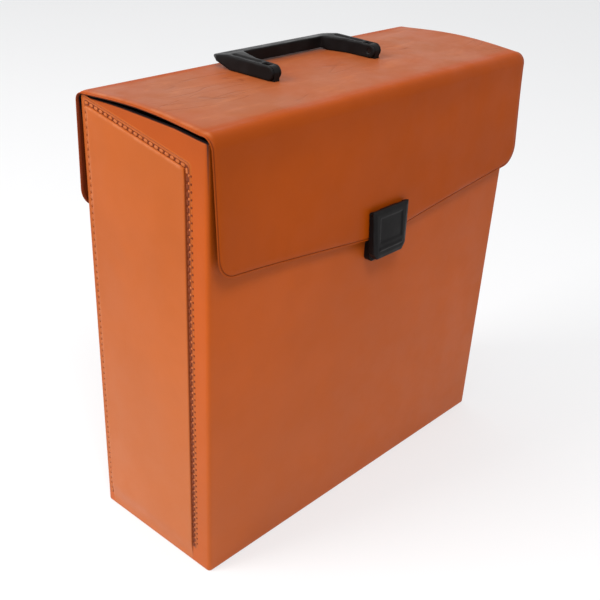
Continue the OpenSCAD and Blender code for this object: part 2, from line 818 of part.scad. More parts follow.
// Side view of the lever: a round heel about the pin and a face that leans out toward its foot
lever_edge = 0.9;
lever_top_dip = 0.2;
module lever_side() {
    face_top = -latch_drop - lever_top_dip;
    translate([latch_pin_u, latch_pin_z]) circle(heel_r);
    polygon([
        [latch_pin_u, latch_pin_z + heel_r], [lever_t - lever_edge, face_top],
        [lever_t, face_top - lever_edge], [lever_t + lever_lean, lever_foot],
        [lever_air, lever_foot], [lever_air, latch_pin_z]
    ]);
}

// The frame of the lever's face: its origin is the middle of the top edge, -Y outward, -Z down the face
lever_tilt = atan(lever_lean / lever_h);
module at_lever_face() {
    at_front_fold() translate([0, -front_fold_r - lever_t, -latch_drop]) rotate([-lever_tilt, 0, 0]) children();
}

// A slice of the lever's outline between two depths under its face
module lever_slice(from, to, inset) {
    translate([0, to, latch_drop]) rotate([90, 0, 0]) linear_extrude(to - from) lever_front(inset);
}

// The bevelled frame round the face
frame_w = 3.4;
frame_rise = 0.9;
module lever_block() at_lever_face() hull() {
    lever_slice(frame_rise, lever_t + lever_lean, 0);
    lever_slice(0, frame_rise, frame_w);
}

// The recessed panel in the lever's face, with sloping sides
recess_half_w = 12;
recess_from = 7;
recess_to = 24.5;
recess_t = 0.7;
recess_slope = 1.2;
module lever_recess() at_lever_face() hull() {
    for (step = [0, 1]) {
        grow = recess_slope * step;
        translate([0, recess_t * (1 - step), 0])
            rotate([90, 0, 0]) linear_extrude(step > 0 ? lap : recess_t / 2)
                translate([-recess_half_w - grow, -recess_to - grow])
                    square([2 * (recess_half_w + grow), recess_to - recess_from + 2 * grow]);
    }
}

// The finger ridge under the panel
ridge_drop = 30;
ridge_d = 2.6;
ridge_sink = 0.5;
ridge_half_w = 13;

// The nib on the lever's foot that sits in the keeper's recess
nib_w = 12;
nib_t = 1.5;
nib_h = 2.4;
nib_bevel = 0.5;

// The lever's inside: rim round the hollow, and room for the knuckles and the base plate
lever_rim = 2;
lever_sill = 2.2;
knuckle_room = 4;
base_room = 0.3;

module latch_lever() color(black_plastic) difference() {
    union() {
        intersection() {
            latch_side(-far, far) lever_side();
            lever_block();
        }
        at_lever_face() translate([0, ridge_sink, -ridge_drop]) rod(-ridge_half_w, ridge_half_w, ridge_d);
        latch_side(-nib_w / 2, nib_w / 2) polygon([
            [2 * lever_air, lever_foot], [-nib_t + nib_bevel, lever_foot], [-nib_t, lever_foot + nib_bevel],
            [-nib_t, lever_foot + nib_h / 2], [2 * lever_air, lever_foot + nib_h]
        ]);
    }
    // hollow behind the face, open toward the flap
    hollow_from = lever_foot + lever_sill;
    hollow_to = base_top;
    at_front_fold() translate([0, -front_fold_r - lever_t + lever_wall, 0])
        rotate([-90, 0, 0]) mirror([0, 1, 0]) linear_extrude(far) intersection() {
            lever_front(lever_rim);
            translate([-far, hollow_from]) square([2 * far, hollow_to - hollow_from]);
        }
    // room for the two knuckles
    for (side = [-1, 1]) {
        from = side > 0 ? knuckle_from - knuckle_clear : -knuckle_to - knuckle_clear;
        to = side > 0 ? knuckle_to + knuckle_clear : -knuckle_from + knuckle_clear;
        latch_side(from, to) {
            translate([latch_pin_u, latch_pin_z]) circle(knuckle_r + knuckle_clear);
            translate([-lap, latch_pin_z - knuckle_room])
                square([latch_pin_u + knuckle_r + knuckle_clear + lap, knuckle_room]);
            translate([-lap, latch_pin_z]) square([latch_pin_u + lap, knuckle_room]);
        }
    }
    // room for the base plate between the knuckles
    latch_side(-knuckle_to - knuckle_clear, knuckle_to + knuckle_clear)
        translate([-lap, latch_pin_z - knuckle_room])
            square([base_t + base_room + lap, knuckle_room + base_room]);
    lever_recess();
    latch_pin_hole(latch_pin_d + 2 * run_clear);
}

base_cover();
base_board();
front_board();
back_board();
left_end_board();
right_end_board();
wall_cover();
left_end_panel();
right_end_panel();
base_lining();
front_lining();
back_lining();
left_lining();
right_lining();
rear_flap_board();
rear_flap_cover();
rear_flap_skin();
rear_flap_rivets();
back_fold_strip();
keeper();
keeper_rivets();
keeper_washers();
lid_board();
lid_cover();
lid_skin();
front_fold_strip();
handle_bracket_left();
handle_bracket_right();
handle_rivets();
handle_bar();
handle();
handle_pin_left();
handle_pin_right();
flap_board();
flap_cover();
flap_skin();
latch_base();
latch_rivets();
latch_washers();
latch_pin();
latch_lever();
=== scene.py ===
"""Skins, stitching, moulded fittings and finishes of a vinyl record case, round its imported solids."""

import json
import math

import bmesh
import bpy
import numpy as np
from mathutils import Matrix, Vector, geometry, noise


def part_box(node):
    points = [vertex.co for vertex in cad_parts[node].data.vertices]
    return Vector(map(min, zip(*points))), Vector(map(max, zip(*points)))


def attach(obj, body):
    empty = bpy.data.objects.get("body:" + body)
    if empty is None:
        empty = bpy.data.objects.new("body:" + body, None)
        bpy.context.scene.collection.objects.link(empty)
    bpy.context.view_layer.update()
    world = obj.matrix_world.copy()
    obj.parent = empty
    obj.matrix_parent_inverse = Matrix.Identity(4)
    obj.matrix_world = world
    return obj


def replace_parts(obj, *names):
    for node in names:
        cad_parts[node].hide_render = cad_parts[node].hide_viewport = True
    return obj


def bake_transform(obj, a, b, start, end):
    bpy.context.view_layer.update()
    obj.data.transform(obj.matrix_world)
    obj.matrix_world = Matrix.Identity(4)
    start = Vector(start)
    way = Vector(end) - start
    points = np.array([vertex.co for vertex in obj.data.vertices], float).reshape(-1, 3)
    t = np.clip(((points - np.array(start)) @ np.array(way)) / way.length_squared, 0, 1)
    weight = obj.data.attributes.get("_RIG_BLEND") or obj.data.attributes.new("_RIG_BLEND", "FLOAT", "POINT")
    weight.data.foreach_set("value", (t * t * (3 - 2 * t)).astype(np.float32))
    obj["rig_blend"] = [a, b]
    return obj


bl_info = {
    "name": "Vinyl Record Case",
    "version": (1, 0, 0),
    "blender": (4, 5, 0),
    "location": "3D View > Sidebar > Record Case",
    "description": "Dresses a packed record case in vinyl, stitching and moulded plastic",
    "category": "Object",
}

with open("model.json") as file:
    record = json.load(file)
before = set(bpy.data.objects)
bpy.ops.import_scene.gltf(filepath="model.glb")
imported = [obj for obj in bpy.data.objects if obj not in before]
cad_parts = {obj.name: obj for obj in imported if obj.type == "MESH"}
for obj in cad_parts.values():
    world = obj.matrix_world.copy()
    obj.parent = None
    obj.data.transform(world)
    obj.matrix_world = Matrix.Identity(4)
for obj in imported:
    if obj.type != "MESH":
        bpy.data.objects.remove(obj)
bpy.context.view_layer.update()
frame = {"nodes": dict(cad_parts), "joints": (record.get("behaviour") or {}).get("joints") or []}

MM = 0.001
# Corners nearer than this are one: of a mesh, of a flat outline, and of a cut.
DOUBLES = 0.002 * MM
SAME_CORNER = 0.05 * MM
SAME_CUT = 0.001 * MM
NODES = frame["nodes"]
PIVOTS = {joint["name"]: Vector(joint["pos_m"]) for joint in frame["joints"]}


def node_points(node):
    """Every corner of a solid's mesh."""
    return [v.co for v in NODES[node].data.vertices]


def loose_centres(node):
    """The middle of each separate solid of a node."""
    bm = bmesh.new()
    bm.from_mesh(NODES[node].data)
    bmesh.ops.remove_doubles(bm, verts=bm.verts[:], dist=DOUBLES)
    left = set(bm.verts)
    centres = []
    while left:
        found = [left.pop()]
        for vert in found:
            for edge in vert.link_edges:
                other = edge.other_vert(vert)
                if other in left:
                    left.remove(other)
                    found.append(other)
        middle = [(min(v.co[i] for v in found) + max(v.co[i] for v in found)) / 2 for i in range(3)]
        centres.append(Vector(middle))
    bm.free()
    return centres


def leaning_angle(node):
    """How far the largest face of a flap's inner skin leans from upright."""
    largest = max(NODES[node].data.polygons, key=lambda face: face.area)
    return math.asin(abs(largest.normal.z))


class CaseSizes(bpy.types.PropertyGroup):
    """Sizes of what the finish adds to the solids."""

    def length(label, words, millimetres):
        return bpy.props.FloatProperty(
            name=label, description=words, default=millimetres * MM, unit="LENGTH", precision=5
        )

    vinyl: length("Vinyl", "Thickness of the vinyl sheet", 0.8)
    skin: length("Inner skin", "Thickness of the lid's inner skin", 0.4)
    rim: length("Rim", "Width of the welded rim round the lid and flaps", 1.1)
    rim_drop: length("Rim drop", "How far the rim lies under the padded face", 0.9)
    weld: length("Weld groove", "Depth of the groove between rim and padded face", 0.4)
    shoulder: length("Shoulder", "Width of the round shoulder inside the rim", 6.0)
    lid_board: length("Lid board", "Thickness of the board in the lid and front flap", 2.0)
    rear_board: length("Rear board", "Thickness of the board in the rear flap", 1.2)
    lid_margin: length("Lid margin", "From the lid's sides to the inner skin", 1.2)
    flap_margin: length("Flap margin", "From the front flap's edge to the inner skin", 6.0)
    rear_margin: length("Rear margin", "From the rear flap's edge to the inner skin", 9.0)
    crown: length("Lid crown", "Rise of the lid's padded face at its middle", 0.4)
    arch: length("Lid arch", "How far the lid's ends curl up between its folds", 3.1)
    bow: length("Flap bow", "How far the flap's lower corners stand out", 3.0)
    curl: length("Left curl", "How far the flap's left edge curls away from the box", 2.6)
    sag: length("Flap sag", "How far the flap hangs lower than its board was cut", 1.9)
    skew: length("Lid skew", "How far the lid and flap sit off centre to the right", 1.0)
    lip: length("Wall lip", "Radius of the walls' top edge", 1.0)
    corner: length("Front corner", "Radius of the box's upright front corners", 3.0)
    back_corner: length("Back corner", "Radius of the box's upright back corners", 2.2)
    hump: length("Wall hump", "Rise of the end walls' top edge between its corners", 1.8)
    wave: length("Wall wave", "Unevenness of the front and back walls", 0.35)
    foot: length("Foot radius", "Radius of the box's bottom edge", 1.4)
    wall: length("Wall", "Thickness of a covered wall at the mouth", 4.2)
    turn_in: length("Turn-in", "How far the vinyl goes down inside the mouth", 14.0)
    pad: length("Pad rise", "How far an end pad stands proud", 1.3)
    pad_corner: length("Pad corner", "Radius of an end pad's corners", 1.8)
    pad_edge: length("Pad edge", "Width of an end pad's rounded edge", 1.0)
    pad_crown: length("Pad crown", "Extra rise in the middle of an end pad", 0.9)
    pad_lean: length("Pad lean", "How far an end pad's top front corner reaches forward", 1.2)
    pitch: length("Stitch pitch", "Distance from stitch to stitch", 4.9)
    stitch_at: length("Stitch offset", "From an end pad to the middle of its stitches", 1.35)
    stitch_long: length("Stitch length", "Length of a stitch along its seam", 3.6)
    stitch_wide: length("Stitch width", "Width of a stitch across its seam", 2.0)
    stitch_high: length("Stitch height", "Height of a stitch above the band", 0.55)
    knot_at: length("Knot offset", "From an end pad to the row of knots", 3.1)
    hole_at: length("Hole offset", "From an end pad to the row of needle holes", 4.9)


class CaseColours(bpy.types.PropertyGroup):
    """Colours of the case's materials, as linear light."""

    def colour(label, words, value):
        return bpy.props.FloatVectorProperty(
            name=label, description=words, default=value, subtype="COLOR", size=3, min=0.0, max=1.0
        )

    vinyl: colour("Vinyl", "Orange-brown vinyl of the box", (0.430, 0.074, 0.004))
    vinyl_end: colour("End vinyl", "Vinyl of the padded ends", (0.405, 0.086, 0.010))
    # The lid and flaps get a darker base than the box's vinyl, so they render darker than the walls.
    vinyl_lid: colour("Lid vinyl", "Vinyl of the lid and flaps, darker with age", (0.350, 0.056, 0.001))
    # Painted shade: this colour darkens the vinyl where shade falls, at the stitches, under the lid, below
    # the fold and on undersides.
    shade: colour("Shade", "Shaded vinyl at stitches and under the lid", (0.150, 0.026, 0.007))
    dust: colour("Dust", "Grey film on the top of the lid", (0.28, 0.23, 0.15))
    # Painted shade: this colour darkens the weld groove and the lid's creases in place of the shade inside
    # them.
    crease_shade: colour("Creases", "Dark vinyl in creases and grooves", (0.085, 0.014, 0.004))
    # Also painted highlight on edges and stitches, and painted reflection of the floor low on the walls.
    pale_tone: colour("Wear", "Pale vinyl where it is scuffed", (0.50, 0.160, 0.060))
    plastic: colour("Plastic", "Black moulded plastic", (0.0055, 0.0048, 0.0050))
    # Partly wear and partly painted highlight on the plastic's edges.
    plastic_pale: colour("Worn plastic", "Grey rubbed edges of the plastic", (0.030, 0.028, 0.028))
    lining: colour("Lining", "Dark lining paper", (0.022, 0.018, 0.020))
    skin: colour("Inner skin", "Dark inner skin of the lid and flaps", (0.010, 0.008, 0.009))
    board: colour("Board", "Grey-brown chipboard", (0.26, 0.17, 0.09))
    steel: colour("Steel", "Plated steel of rivets and washers", (0.55, 0.56, 0.58))
    black_steel: colour("Black steel", "Blackened steel of the pins", (0.030, 0.030, 0.032))
    floor: colour("Floor", "Pale studio floor", (0.86, 0.86, 0.87))


def sizes():
    return bpy.context.scene.record_case_sizes


def colours():
    return bpy.context.scene.record_case_colours


def smooth_step(t):
    t = min(max(t, 0.0), 1.0)
    return t * t * (3 - 2 * t)


class Surface:
    """A material of shader nodes, with short ways to add and join them."""

    def __init__(self, name, roughness, specular=0.5, metallic=0.0):
        self.material = bpy.data.materials.new(name)
        self.material.use_nodes = True
        self.tree = self.material.node_tree
        self.shader = self.tree.nodes["Principled BSDF"]
        self.shader.inputs["Roughness"].default_value = roughness
        self.shader.inputs["Specular IOR Level"].default_value = specular
        self.shader.inputs["Metallic"].default_value = metallic
        self.place = self.add("ShaderNodeTexCoord").outputs["Object"]

    def add(self, kind, **settings):
        node = self.tree.nodes.new(kind)
        for name, value in settings.items():
            setattr(node, name, value)
        return node

    def feed(self, socket, value):
        """Join an output to a socket, or set the socket to a plain value."""
        if isinstance(value, bpy.types.NodeSocket):
            self.tree.links.new(value, socket)
        else:
            socket.default_value = value

    def stretched(self, scale, turn=(0.0, 0.0, 0.0)):
        """Object coordinates, scaled along each axis after a turn in degrees."""
        node = self.add("ShaderNodeMapping")
        node.inputs["Rotation"].default_value = [math.radians(a) for a in turn]
        node.inputs["Scale"].default_value = scale
        self.feed(node.inputs["Vector"], self.place)
        return node.outputs["Vector"]

    def noise(self, scale, detail=2.0, roughness=0.5, place=None, bend=0.0):
        node = self.add("ShaderNodeTexNoise")
        self.feed(node.inputs["Vector"], place or self.place)
        node.inputs["Scale"].default_value = scale
        node.inputs["Detail"].default_value = detail
        node.inputs["Roughness"].default_value = roughness
        node.inputs["Distortion"].default_value = bend
        return node.outputs["Fac"]

    def cells(self, scale):
        node = self.add("ShaderNodeTexVoronoi", feature="SMOOTH_F1")
        self.feed(node.inputs["Vector"], self.place)
        node.inputs["Scale"].default_value = scale
        return node.outputs["Distance"]

    def math(self, operation, a, b=0.0):
        node = self.add("ShaderNodeMath", operation=operation)
        self.feed(node.inputs[0], a)
        self.feed(node.inputs[1], b)
        return node.outputs[0]

    def remap(self, value, low, high, to_low=0.0, to_high=1.0):
        """Carry a value smoothly from one range to another, held at its ends."""
        node = self.add("ShaderNodeMapRange", interpolation_type="SMOOTHSTEP")
        ends = {"From Min": low, "From Max": high, "To Min": to_low, "To Max": to_high}
        for name, number in ends.items():
            node.inputs[name].default_value = number
        self.feed(node.inputs["Value"], value)
        return node.outputs["Result"]

    def line(self, value, width):
        """A thin line wherever a noise passes its middle value."""
        off = self.math("ABSOLUTE", self.math("SUBTRACT", value, 0.5))
        return self.remap(off, 0.0, width, 1.0, 0.0)

    def mix(self, share, a, b):
        node = self.add("ShaderNodeMix", data_type="RGBA")
        self.feed(node.inputs["Factor"], share)
        for name, value in (("A", a), ("B", b)):
            socket = next(i for i in node.inputs if i.name == name and i.type == "RGBA")
            if not isinstance(value, bpy.types.NodeSocket):
                value = (*value, 1.0)
            self.feed(socket, value)
        return next(o for o in node.outputs if o.type == "RGBA")

    def attribute(self, name):
        node = self.add("ShaderNodeAttribute", attribute_name=name)
        return node.outputs["Fac"]

    def height(self):
        node = self.add("ShaderNodeSeparateXYZ")
        self.feed(node.inputs[0], self.place)
        return node.outputs["Z"]

    def bump(self, height, distance, under=None):
        node = self.add("ShaderNodeBump")
        node.inputs["Distance"].default_value = distance
        self.feed(node.inputs["Height"], height)
        if under:
            self.feed(node.inputs["Normal"], under)
        return node.outputs["Normal"]

    def finish(self, colour, roughness=None, normal=None):
        self.feed(self.shader.inputs["Base Color"], colour)
        if roughness:
            self.feed(self.shader.inputs["Roughness"], roughness)
        if normal:
            self.feed(self.shader.inputs["Normal"], normal)
        return self.material


def seen_directly(tree):
    """An output that is 1 for what the camera sees, also in a mirror or through glass."""
    path = tree.nodes.new("ShaderNodeLightPath").outputs
    seen = path["Is Camera Ray"]
    for other in ("Is Glossy Ray", "Is Transmission Ray"):
        either = tree.nodes.new("ShaderNodeMath")
        either.operation = "MAXIMUM"
        tree.links.new(seen, either.inputs[0])
        tree.links.new(path[other], either.inputs[1])
        seen = either.outputs[0]
    return seen


def tinted(colour, factor):
    return [channel * factor for channel in colour]


def vinyl_material(name, base, specular, top_wear=False, floor_reflection=0.0):
    """Grained vinyl with clouds of colour, rubbed edges and painted highlight, a painted floor reflection
    low down, painted shade in grooves, on undersides, below the fold and under the lid, the lining's colour
    painted on the lip as shade, and, on the lid, dust, creases with painted shade, and scuffs.
    """
    palette = colours()
    s = Surface(name, roughness=0.42, specular=specular)
    clouds = s.remap(s.noise(7.0, 3.0, 0.55), 0.3, 0.7)
    colour = s.mix(clouds, tinted(base, 0.93), tinted(base, 1.06))
    mottle = s.remap(s.noise(60.0, 4.0, 0.6), 0.35, 0.75)
    colour = s.mix(s.math("MULTIPLY", mottle, 0.22), colour, tinted(base, 0.84))
    # Painted reflection of the floor: the vinyl is painted paler toward the bottom.
    if floor_reflection:
        colour = s.mix(s.remap(s.height(), 0.0, 0.29, floor_reflection, 0.0), colour, palette.pale_tone)
    # The pale mark is partly wear and partly painted highlight.
    pale_tone = s.remap(s.attribute("wear_and_highlight"), 0.15, 1.0)
    pale_share = s.math("MULTIPLY", pale_tone, s.remap(s.noise(90.0, 3.0, 0.65), 0.35, 0.65, 0.2, 0.65))
    colour = s.mix(pale_share, colour, palette.pale_tone)
    # Painted shade in the weld groove.
    colour = s.mix(s.math("MULTIPLY", s.attribute("weld"), 0.75), colour, palette.crease_shade)
    # Painted shade: the vinyl is darkened toward the shade colour where the mark says shade falls.
    colour = s.mix(s.attribute("painted_shade"), colour, palette.shade)
    # Painted shade: the lip under the lid is painted in the dark lining's colour.
    colour = s.mix(s.attribute("lip_shade"), colour, palette.lining)
    normal = s.bump(s.noise(16.0, 2.0, 0.5), 0.9 * MM)
    normal = s.bump(s.cells(1150.0), 0.035 * MM, normal)
    rough = s.remap(s.noise(34.0, 3.0, 0.6), 0.3, 0.7, 0.36, 0.5)
    if top_wear:
        on_top = s.attribute("upper")
        film = s.remap(s.noise(6.0, 3.0, 0.6), 0.3, 0.75, 0.08, 0.27)
        colour = s.mix(s.math("MULTIPLY", film, on_top), colour, palette.dust)
        streaks = s.stretched((22.0, 70.0, 30.0), (0, 0, 24.0))
        scuffs = s.remap(s.noise(1.0, 4.0, 0.7, streaks, 0.6), 0.5, 0.72)
        scuffs = s.math("MULTIPLY", scuffs, on_top)
        colour = s.mix(s.math("MULTIPLY", scuffs, 0.3), colour, palette.pale_tone)
        # Painted shade: each crease is drawn as a dark line, in place of the shade in the crease, and also
        # as a shallow bump.
        for place, width, amount in (((9.0, 26.0, 9.0), 0.012, 0.22), ((14.0, 60.0, 14.0), 0.02, 0.16)):
            crease_shade = s.line(s.noise(1.0, 2.0, 0.45, s.stretched(place, (0, 0, -12.0)), 0.5), width)
            crease_shade = s.math("MULTIPLY", crease_shade, s.remap(s.noise(13.0, 1.0), 0.47, 0.6))
            crease_shade = s.math("MULTIPLY", crease_shade, on_top)
            colour = s.mix(s.math("MULTIPLY", crease_shade, amount), colour, palette.crease_shade)
            normal = s.bump(s.math("MULTIPLY", crease_shade, -1.0), 0.2 * MM, normal)
        rough = s.math("ADD", rough, s.math("MULTIPLY", film, 0.25))
    return s.finish(colour, rough, normal)


def plastic_material():
    """Black moulded plastic with a fine spark texture, and greyed edges, partly handling wear and partly
    painted highlight.
    """
    palette = colours()
    s = Surface("moulded_black_plastic", roughness=0.4, specular=0.09)
    pale_share = s.math("MULTIPLY", s.attribute("wear_and_highlight"), s.remap(s.noise(140.0, 4.0, 0.65), 0.4, 0.7))
    dust = s.remap(s.noise(45.0, 3.0, 0.6), 0.45, 0.8, 0.0, 0.2)
    colour = s.mix(s.math("MAXIMUM", pale_share, dust), palette.plastic, palette.plastic_pale)
    rough = s.remap(s.noise(75.0, 4.0, 0.6), 0.3, 0.7, 0.32, 0.5)
    normal = s.bump(s.noise(14.0, 1.0), 0.25 * MM)
    return s.finish(colour, rough, s.bump(s.noise(2200.0, 2.0, 0.6), 0.02 * MM, normal))


def paper_material(name, base, roughness, specular):
    """Matt lining with short fibres and rubbed patches."""
    s = Surface(name, roughness=roughness, specular=specular)
    along = s.stretched((420.0, 900.0, 420.0), (0, 30.0, 20.0))
    fibres = s.remap(s.noise(1.0, 3.0, 0.7, along), 0.4, 0.7)
    colour = s.mix(s.math("MULTIPLY", fibres, 0.5), base, tinted(base, 2.0))
    patches = s.remap(s.noise(18.0, 3.0, 0.6), 0.5, 0.75)
    colour = s.mix(s.math("MULTIPLY", patches, 0.35), colour, tinted(base, 1.7))
    return s.finish(colour, normal=s.bump(fibres, 0.04 * MM))


def board_material():
    """Grey-brown chipboard with flecks of pulp."""
    base = colours().board
    s = Surface("chipboard", roughness=0.85, specular=0.2)
    flecks = s.remap(s.noise(700.0, 4.0, 0.7), 0.45, 0.7)
    colour = s.mix(flecks, tinted(base, 0.8), tinted(base, 1.25))
    return s.finish(colour, normal=s.bump(flecks, 0.05 * MM))


def steel_material(name, base):
    """Steel, brushed and slightly dulled."""
    s = Surface(name, roughness=0.3, metallic=1.0)
    dull = s.remap(s.noise(260.0, 4.0, 0.65), 0.35, 0.75)
    colour = s.mix(dull, base, tinted(base, 0.62))
    brushed = s.noise(1.0, 2.0, 0.5, s.stretched((3000.0, 300.0, 300.0)))
    return s.finish(colour, s.remap(dull, 0.0, 1.0, 0.24, 0.48), s.bump(brushed, 0.01 * MM))


def material(name):
    """A material by name, made the first time it is asked for."""
    makers = {
        "grained_vinyl": lambda: vinyl_material("grained_vinyl", colours().vinyl, 0.12, floor_reflection=0.25),
        "lid_vinyl": lambda: vinyl_material("lid_vinyl", colours().vinyl_lid, 0.09, top_wear=True),
        "end_vinyl": lambda: vinyl_material("end_vinyl", colours().vinyl_end, 0.15, floor_reflection=0.5),
        "moulded_black_plastic": plastic_material,
        "lining_paper": lambda: paper_material("lining_paper", colours().lining, 0.9, 0.25),
        "dark_skin": lambda: paper_material("dark_skin", colours().skin, 0.6, 0.08),
        "chipboard": board_material,
        "plated_steel": lambda: steel_material("plated_steel", colours().steel),
        "blackened_steel": lambda: steel_material("blackened_steel", colours().black_steel),
    }
    return bpy.data.materials.get(name) or makers[name]()


def put_in_scene(name, data):
    thing = bpy.data.objects.new(name, data)
    bpy.context.scene.collection.objects.link(thing)
    return thing


def new_piece(name, bm, material_name, body=None, sharp=math.radians(40.0)):
    """Turn a bmesh into a smooth-shaded piece that rides on a body."""
    mesh = bpy.data.meshes.new(name)
    bm.to_mesh(mesh)
    bm.free()
    mesh.shade_smooth()
    mesh.set_sharp_from_angle(angle=sharp)
    mesh.materials.append(material(material_name))
    piece = put_in_scene(name, mesh)
    if body:
        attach(piece, body)
    return piece


def add_marks(bm, *names):
    """Values that each vertex carries for the materials to read."""
    for name in names:
        bm.verts.layers.float.new(name)
    return [bm.verts.layers.float[name] for name in names]


def inset(bm, face, steps):
    """Rings of faces inside a face's edge, one for each step inward."""
    for step in steps:
        bmesh.ops.inset_region(bm, faces=[face], thickness=step, use_even_offset=True, use_boundary=True)


def bevel(bm, edges, offset, segments):
    """Round edges over."""
    bmesh.ops.bevel(bm, geom=edges, offset=offset, offset_type="OFFSET", affect="EDGES",
                    segments=segments, profile=0.5, material=-1, clamp_overlap=True)


def only_verts(geom):
    return [g for g in geom if isinstance(g, bmesh.types.BMVert)]


def cut(bm, place, normal, **clear):
    """Cut every face of a bmesh by a plane."""
    geom = bm.verts[:] + bm.edges[:] + bm.faces[:]
    bmesh.ops.bisect_plane(bm, geom=geom, dist=SAME_CUT, plane_co=place, plane_no=normal, **clear)


def spread(low, high, step):
    """Even places from low to high, no further apart than a step, ends left out."""
    count = max(1, math.ceil((high - low) / step))
    return [low + (high - low) * i / count for i in range(1, count)]


def edge_distance(hull, skip_below=None):
    """A function for how far points lie inside a convex outline, leaving out its edges under a line."""
    corners = np.array(hull)
    ahead = np.roll(corners, -1, axis=0)
    if skip_below is not None:
        keep = ~((corners[:, 1] < skip_below) & (ahead[:, 1] < skip_below))
        corners, ahead = corners[keep], ahead[keep]
    along = ahead - corners
    inward = np.stack([-along[:, 1], along[:, 0]], axis=1)
    inward /= np.linalg.norm(inward, axis=1)[:, None]

    def distance(points):
        gaps = (np.array(points)[:, None, :] - corners[None, :, :]) * inward[None, :, :]
        return gaps.sum(axis=2).min(axis=1)

    return distance


def convex_outline(points):
    """The corners of the convex outline of flat points, anticlockwise, with near doubles left out."""
    hull = [Vector(points[i]) for i in geometry.convex_hull_2d([Vector(p) for p in points])]
    hull = [a for a, b in zip(hull, hull[1:] + hull[:1]) if (a - b).length > SAME_CORNER]
    area = sum(a.x * b.y - b.x * a.y for a, b in zip(hull, hull[1:] + hull[:1]))
    return hull if area > 0 else hull[::-1]


def simple_corners(outline, least_turn=math.radians(5.0)):
    """Only the corners of a closed outline at which it turns clearly."""
    kept = []
    for before, corner, after in zip(outline[-1:] + outline[:-1], outline, outline[1:] + outline[:1]):
        if abs((corner - before).angle_signed(after - corner)) > least_turn:
            kept.append(corner)
    return kept


def round_corners(bm, corners, radius):
    """Draw the points near each corner of a flat convex outline onto arcs about one centre."""
    for before, corner, after in zip(corners[-1:] + corners[:-1], corners, corners[1:] + corners[:1]):
        along = Matrix([(after - corner).normalized(), (before - corner).normalized()]).transposed()
        to_corner = along.inverted()
        for vert in bm.verts:
            u, v = to_corner @ (vert.co.xy - corner)
            if min(u, v) < -SAME_CORNER or max(u, v) >= radius:
                continue
            inside, further = min(u, v), max(u, v)
            angle = math.radians(45.0) * (1 - (further - inside) / (radius - inside))
            steep, shallow = (radius - inside) * math.cos(angle), (radius - inside) * math.sin(angle)
            near, far = radius - steep, radius - shallow
            u, v = (near, far) if u <= v else (far, near)
            vert.co.xy = corner + along @ Vector((u, v))


class FoldPath:
    """The line of a sheet in Y and Z: level over the lid, round a fold, then straight down a flap."""

    OVERRUN = 20 * MM

    def __init__(self, seam_y, fold, top, lean):
        self.way = math.copysign(1.0, fold.y - seam_y)
        self.seam_y = seam_y
        self.fold = fold
        self.top = top
        self.radius = top - fold.z
        self.turn = math.pi / 2 - lean
        self.bend_from = abs(fold.y - seam_y)
        self.bend_to = self.bend_from + self.radius * self.turn

    def at(self, s, rise=0.0):
        """The point at a distance s from the seam, and a rise above the sheet."""
        if s < self.bend_from:
            return self.seam_y + self.way * s, self.top + rise
        angle = min((s - self.bend_from) / self.radius, self.turn)
        past = max(s - self.bend_to, 0.0)
        out = self.radius + rise
        y = self.fold.y + self.way * (out * math.sin(angle) + past * math.cos(angle))
        return y, self.fold.z + out * math.cos(angle) - past * math.sin(angle)

    def share(self, s, ease):
        """1 in the bend, easing to 0 on the straight stretches beside it."""
        off = max(self.bend_from - s, s - self.bend_to, 0.0)
        return 1.0 - smooth_step(off / ease)

    def outline(self, node, sag=0.0):
        """The sheet's flat outline in X and s, from a flap's solid, run back past the seam."""
        points = []
        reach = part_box(node)[1].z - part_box(node)[0].z
        for p in node_points(node):
            y, z = p.y - self.fold.y, p.z - self.fold.z
            down = self.way * y * math.cos(self.turn) - z * math.sin(self.turn)
            points.append((p.x, self.bend_to + down * (1 + sag / reach)))
        half = max(x for x, s in points)
        return convex_outline(points + [(-half, -self.OVERRUN), (half, -self.OVERRUN)])


# The soft outer edge of a rim, and the weld groove: its middle from the rim, and half its width.
EDGE_WIDTH = 0.35 * MM
EDGE_DROP = 0.25 * MM
GROOVE_AT = 0.25 * MM
GROOVE_HALF = 0.5 * MM
SHOULDER_FULLNESS = 2.8


def padded_height(d):
    """Height of the padded face at a distance d from its edge: rim, weld groove and shoulder."""
    size = sizes()
    if d < size.rim:
        soft = max(0.0, 1.0 - d / EDGE_WIDTH)
        return -size.rim_drop - EDGE_DROP * (1 - math.sqrt(max(0.0, 1 - soft * soft)))
    t = min((d - size.rim) / size.shoulder, 1.0)
    return -size.rim_drop * (1 - t) ** SHOULDER_FULLNESS - size.weld * weld_share(d)


def weld_share(d):
    """1 at the bottom of the weld groove, 0 beside it."""
    return smooth_step(1.0 - abs(d - sizes().rim - GROOVE_AT) / GROOVE_HALF)


# The gap between vinyl and skin, and the widths over which the skin leaves its edge and a fold.
SKIN_GAP = 0.03 * MM
SKIN_STEP = 4 * MM
SKIN_EASE = 7 * MM


def skin_height(d, s, path, board, margin):
    """Height of the inner skin: under the vinyl at its edge and at a fold, else under the board."""
    on_flap = smooth_step((s - path.bend_from) / (path.bend_to - path.bend_from))
    start = sizes().lid_margin * (1 - on_flap) + margin * on_flap
    inside = smooth_step((d - start) / SKIN_STEP) * (1 - path.share(s, SKIN_EASE))
    return padded_height(d) - sizes().vinyl + SKIN_GAP - board * inside


def skin_outline(hull, path, margin):
    """An inner skin's outline: near the sheet's edge on the lid, further in on the flap."""
    half = max(x for x, s in hull)
    reach = max(s for x, s in hull) - path.bend_to
    points = [(x * (1 - margin / half), path.bend_to + (s - path.bend_to) * (1 - margin / reach))
              for x, s in hull if s > path.bend_to]
    side = half - sizes().lid_margin
    points += [(x, s) for x in (-side, side) for s in (-path.OVERRUN, path.bend_from)]
    return convex_outline(points)


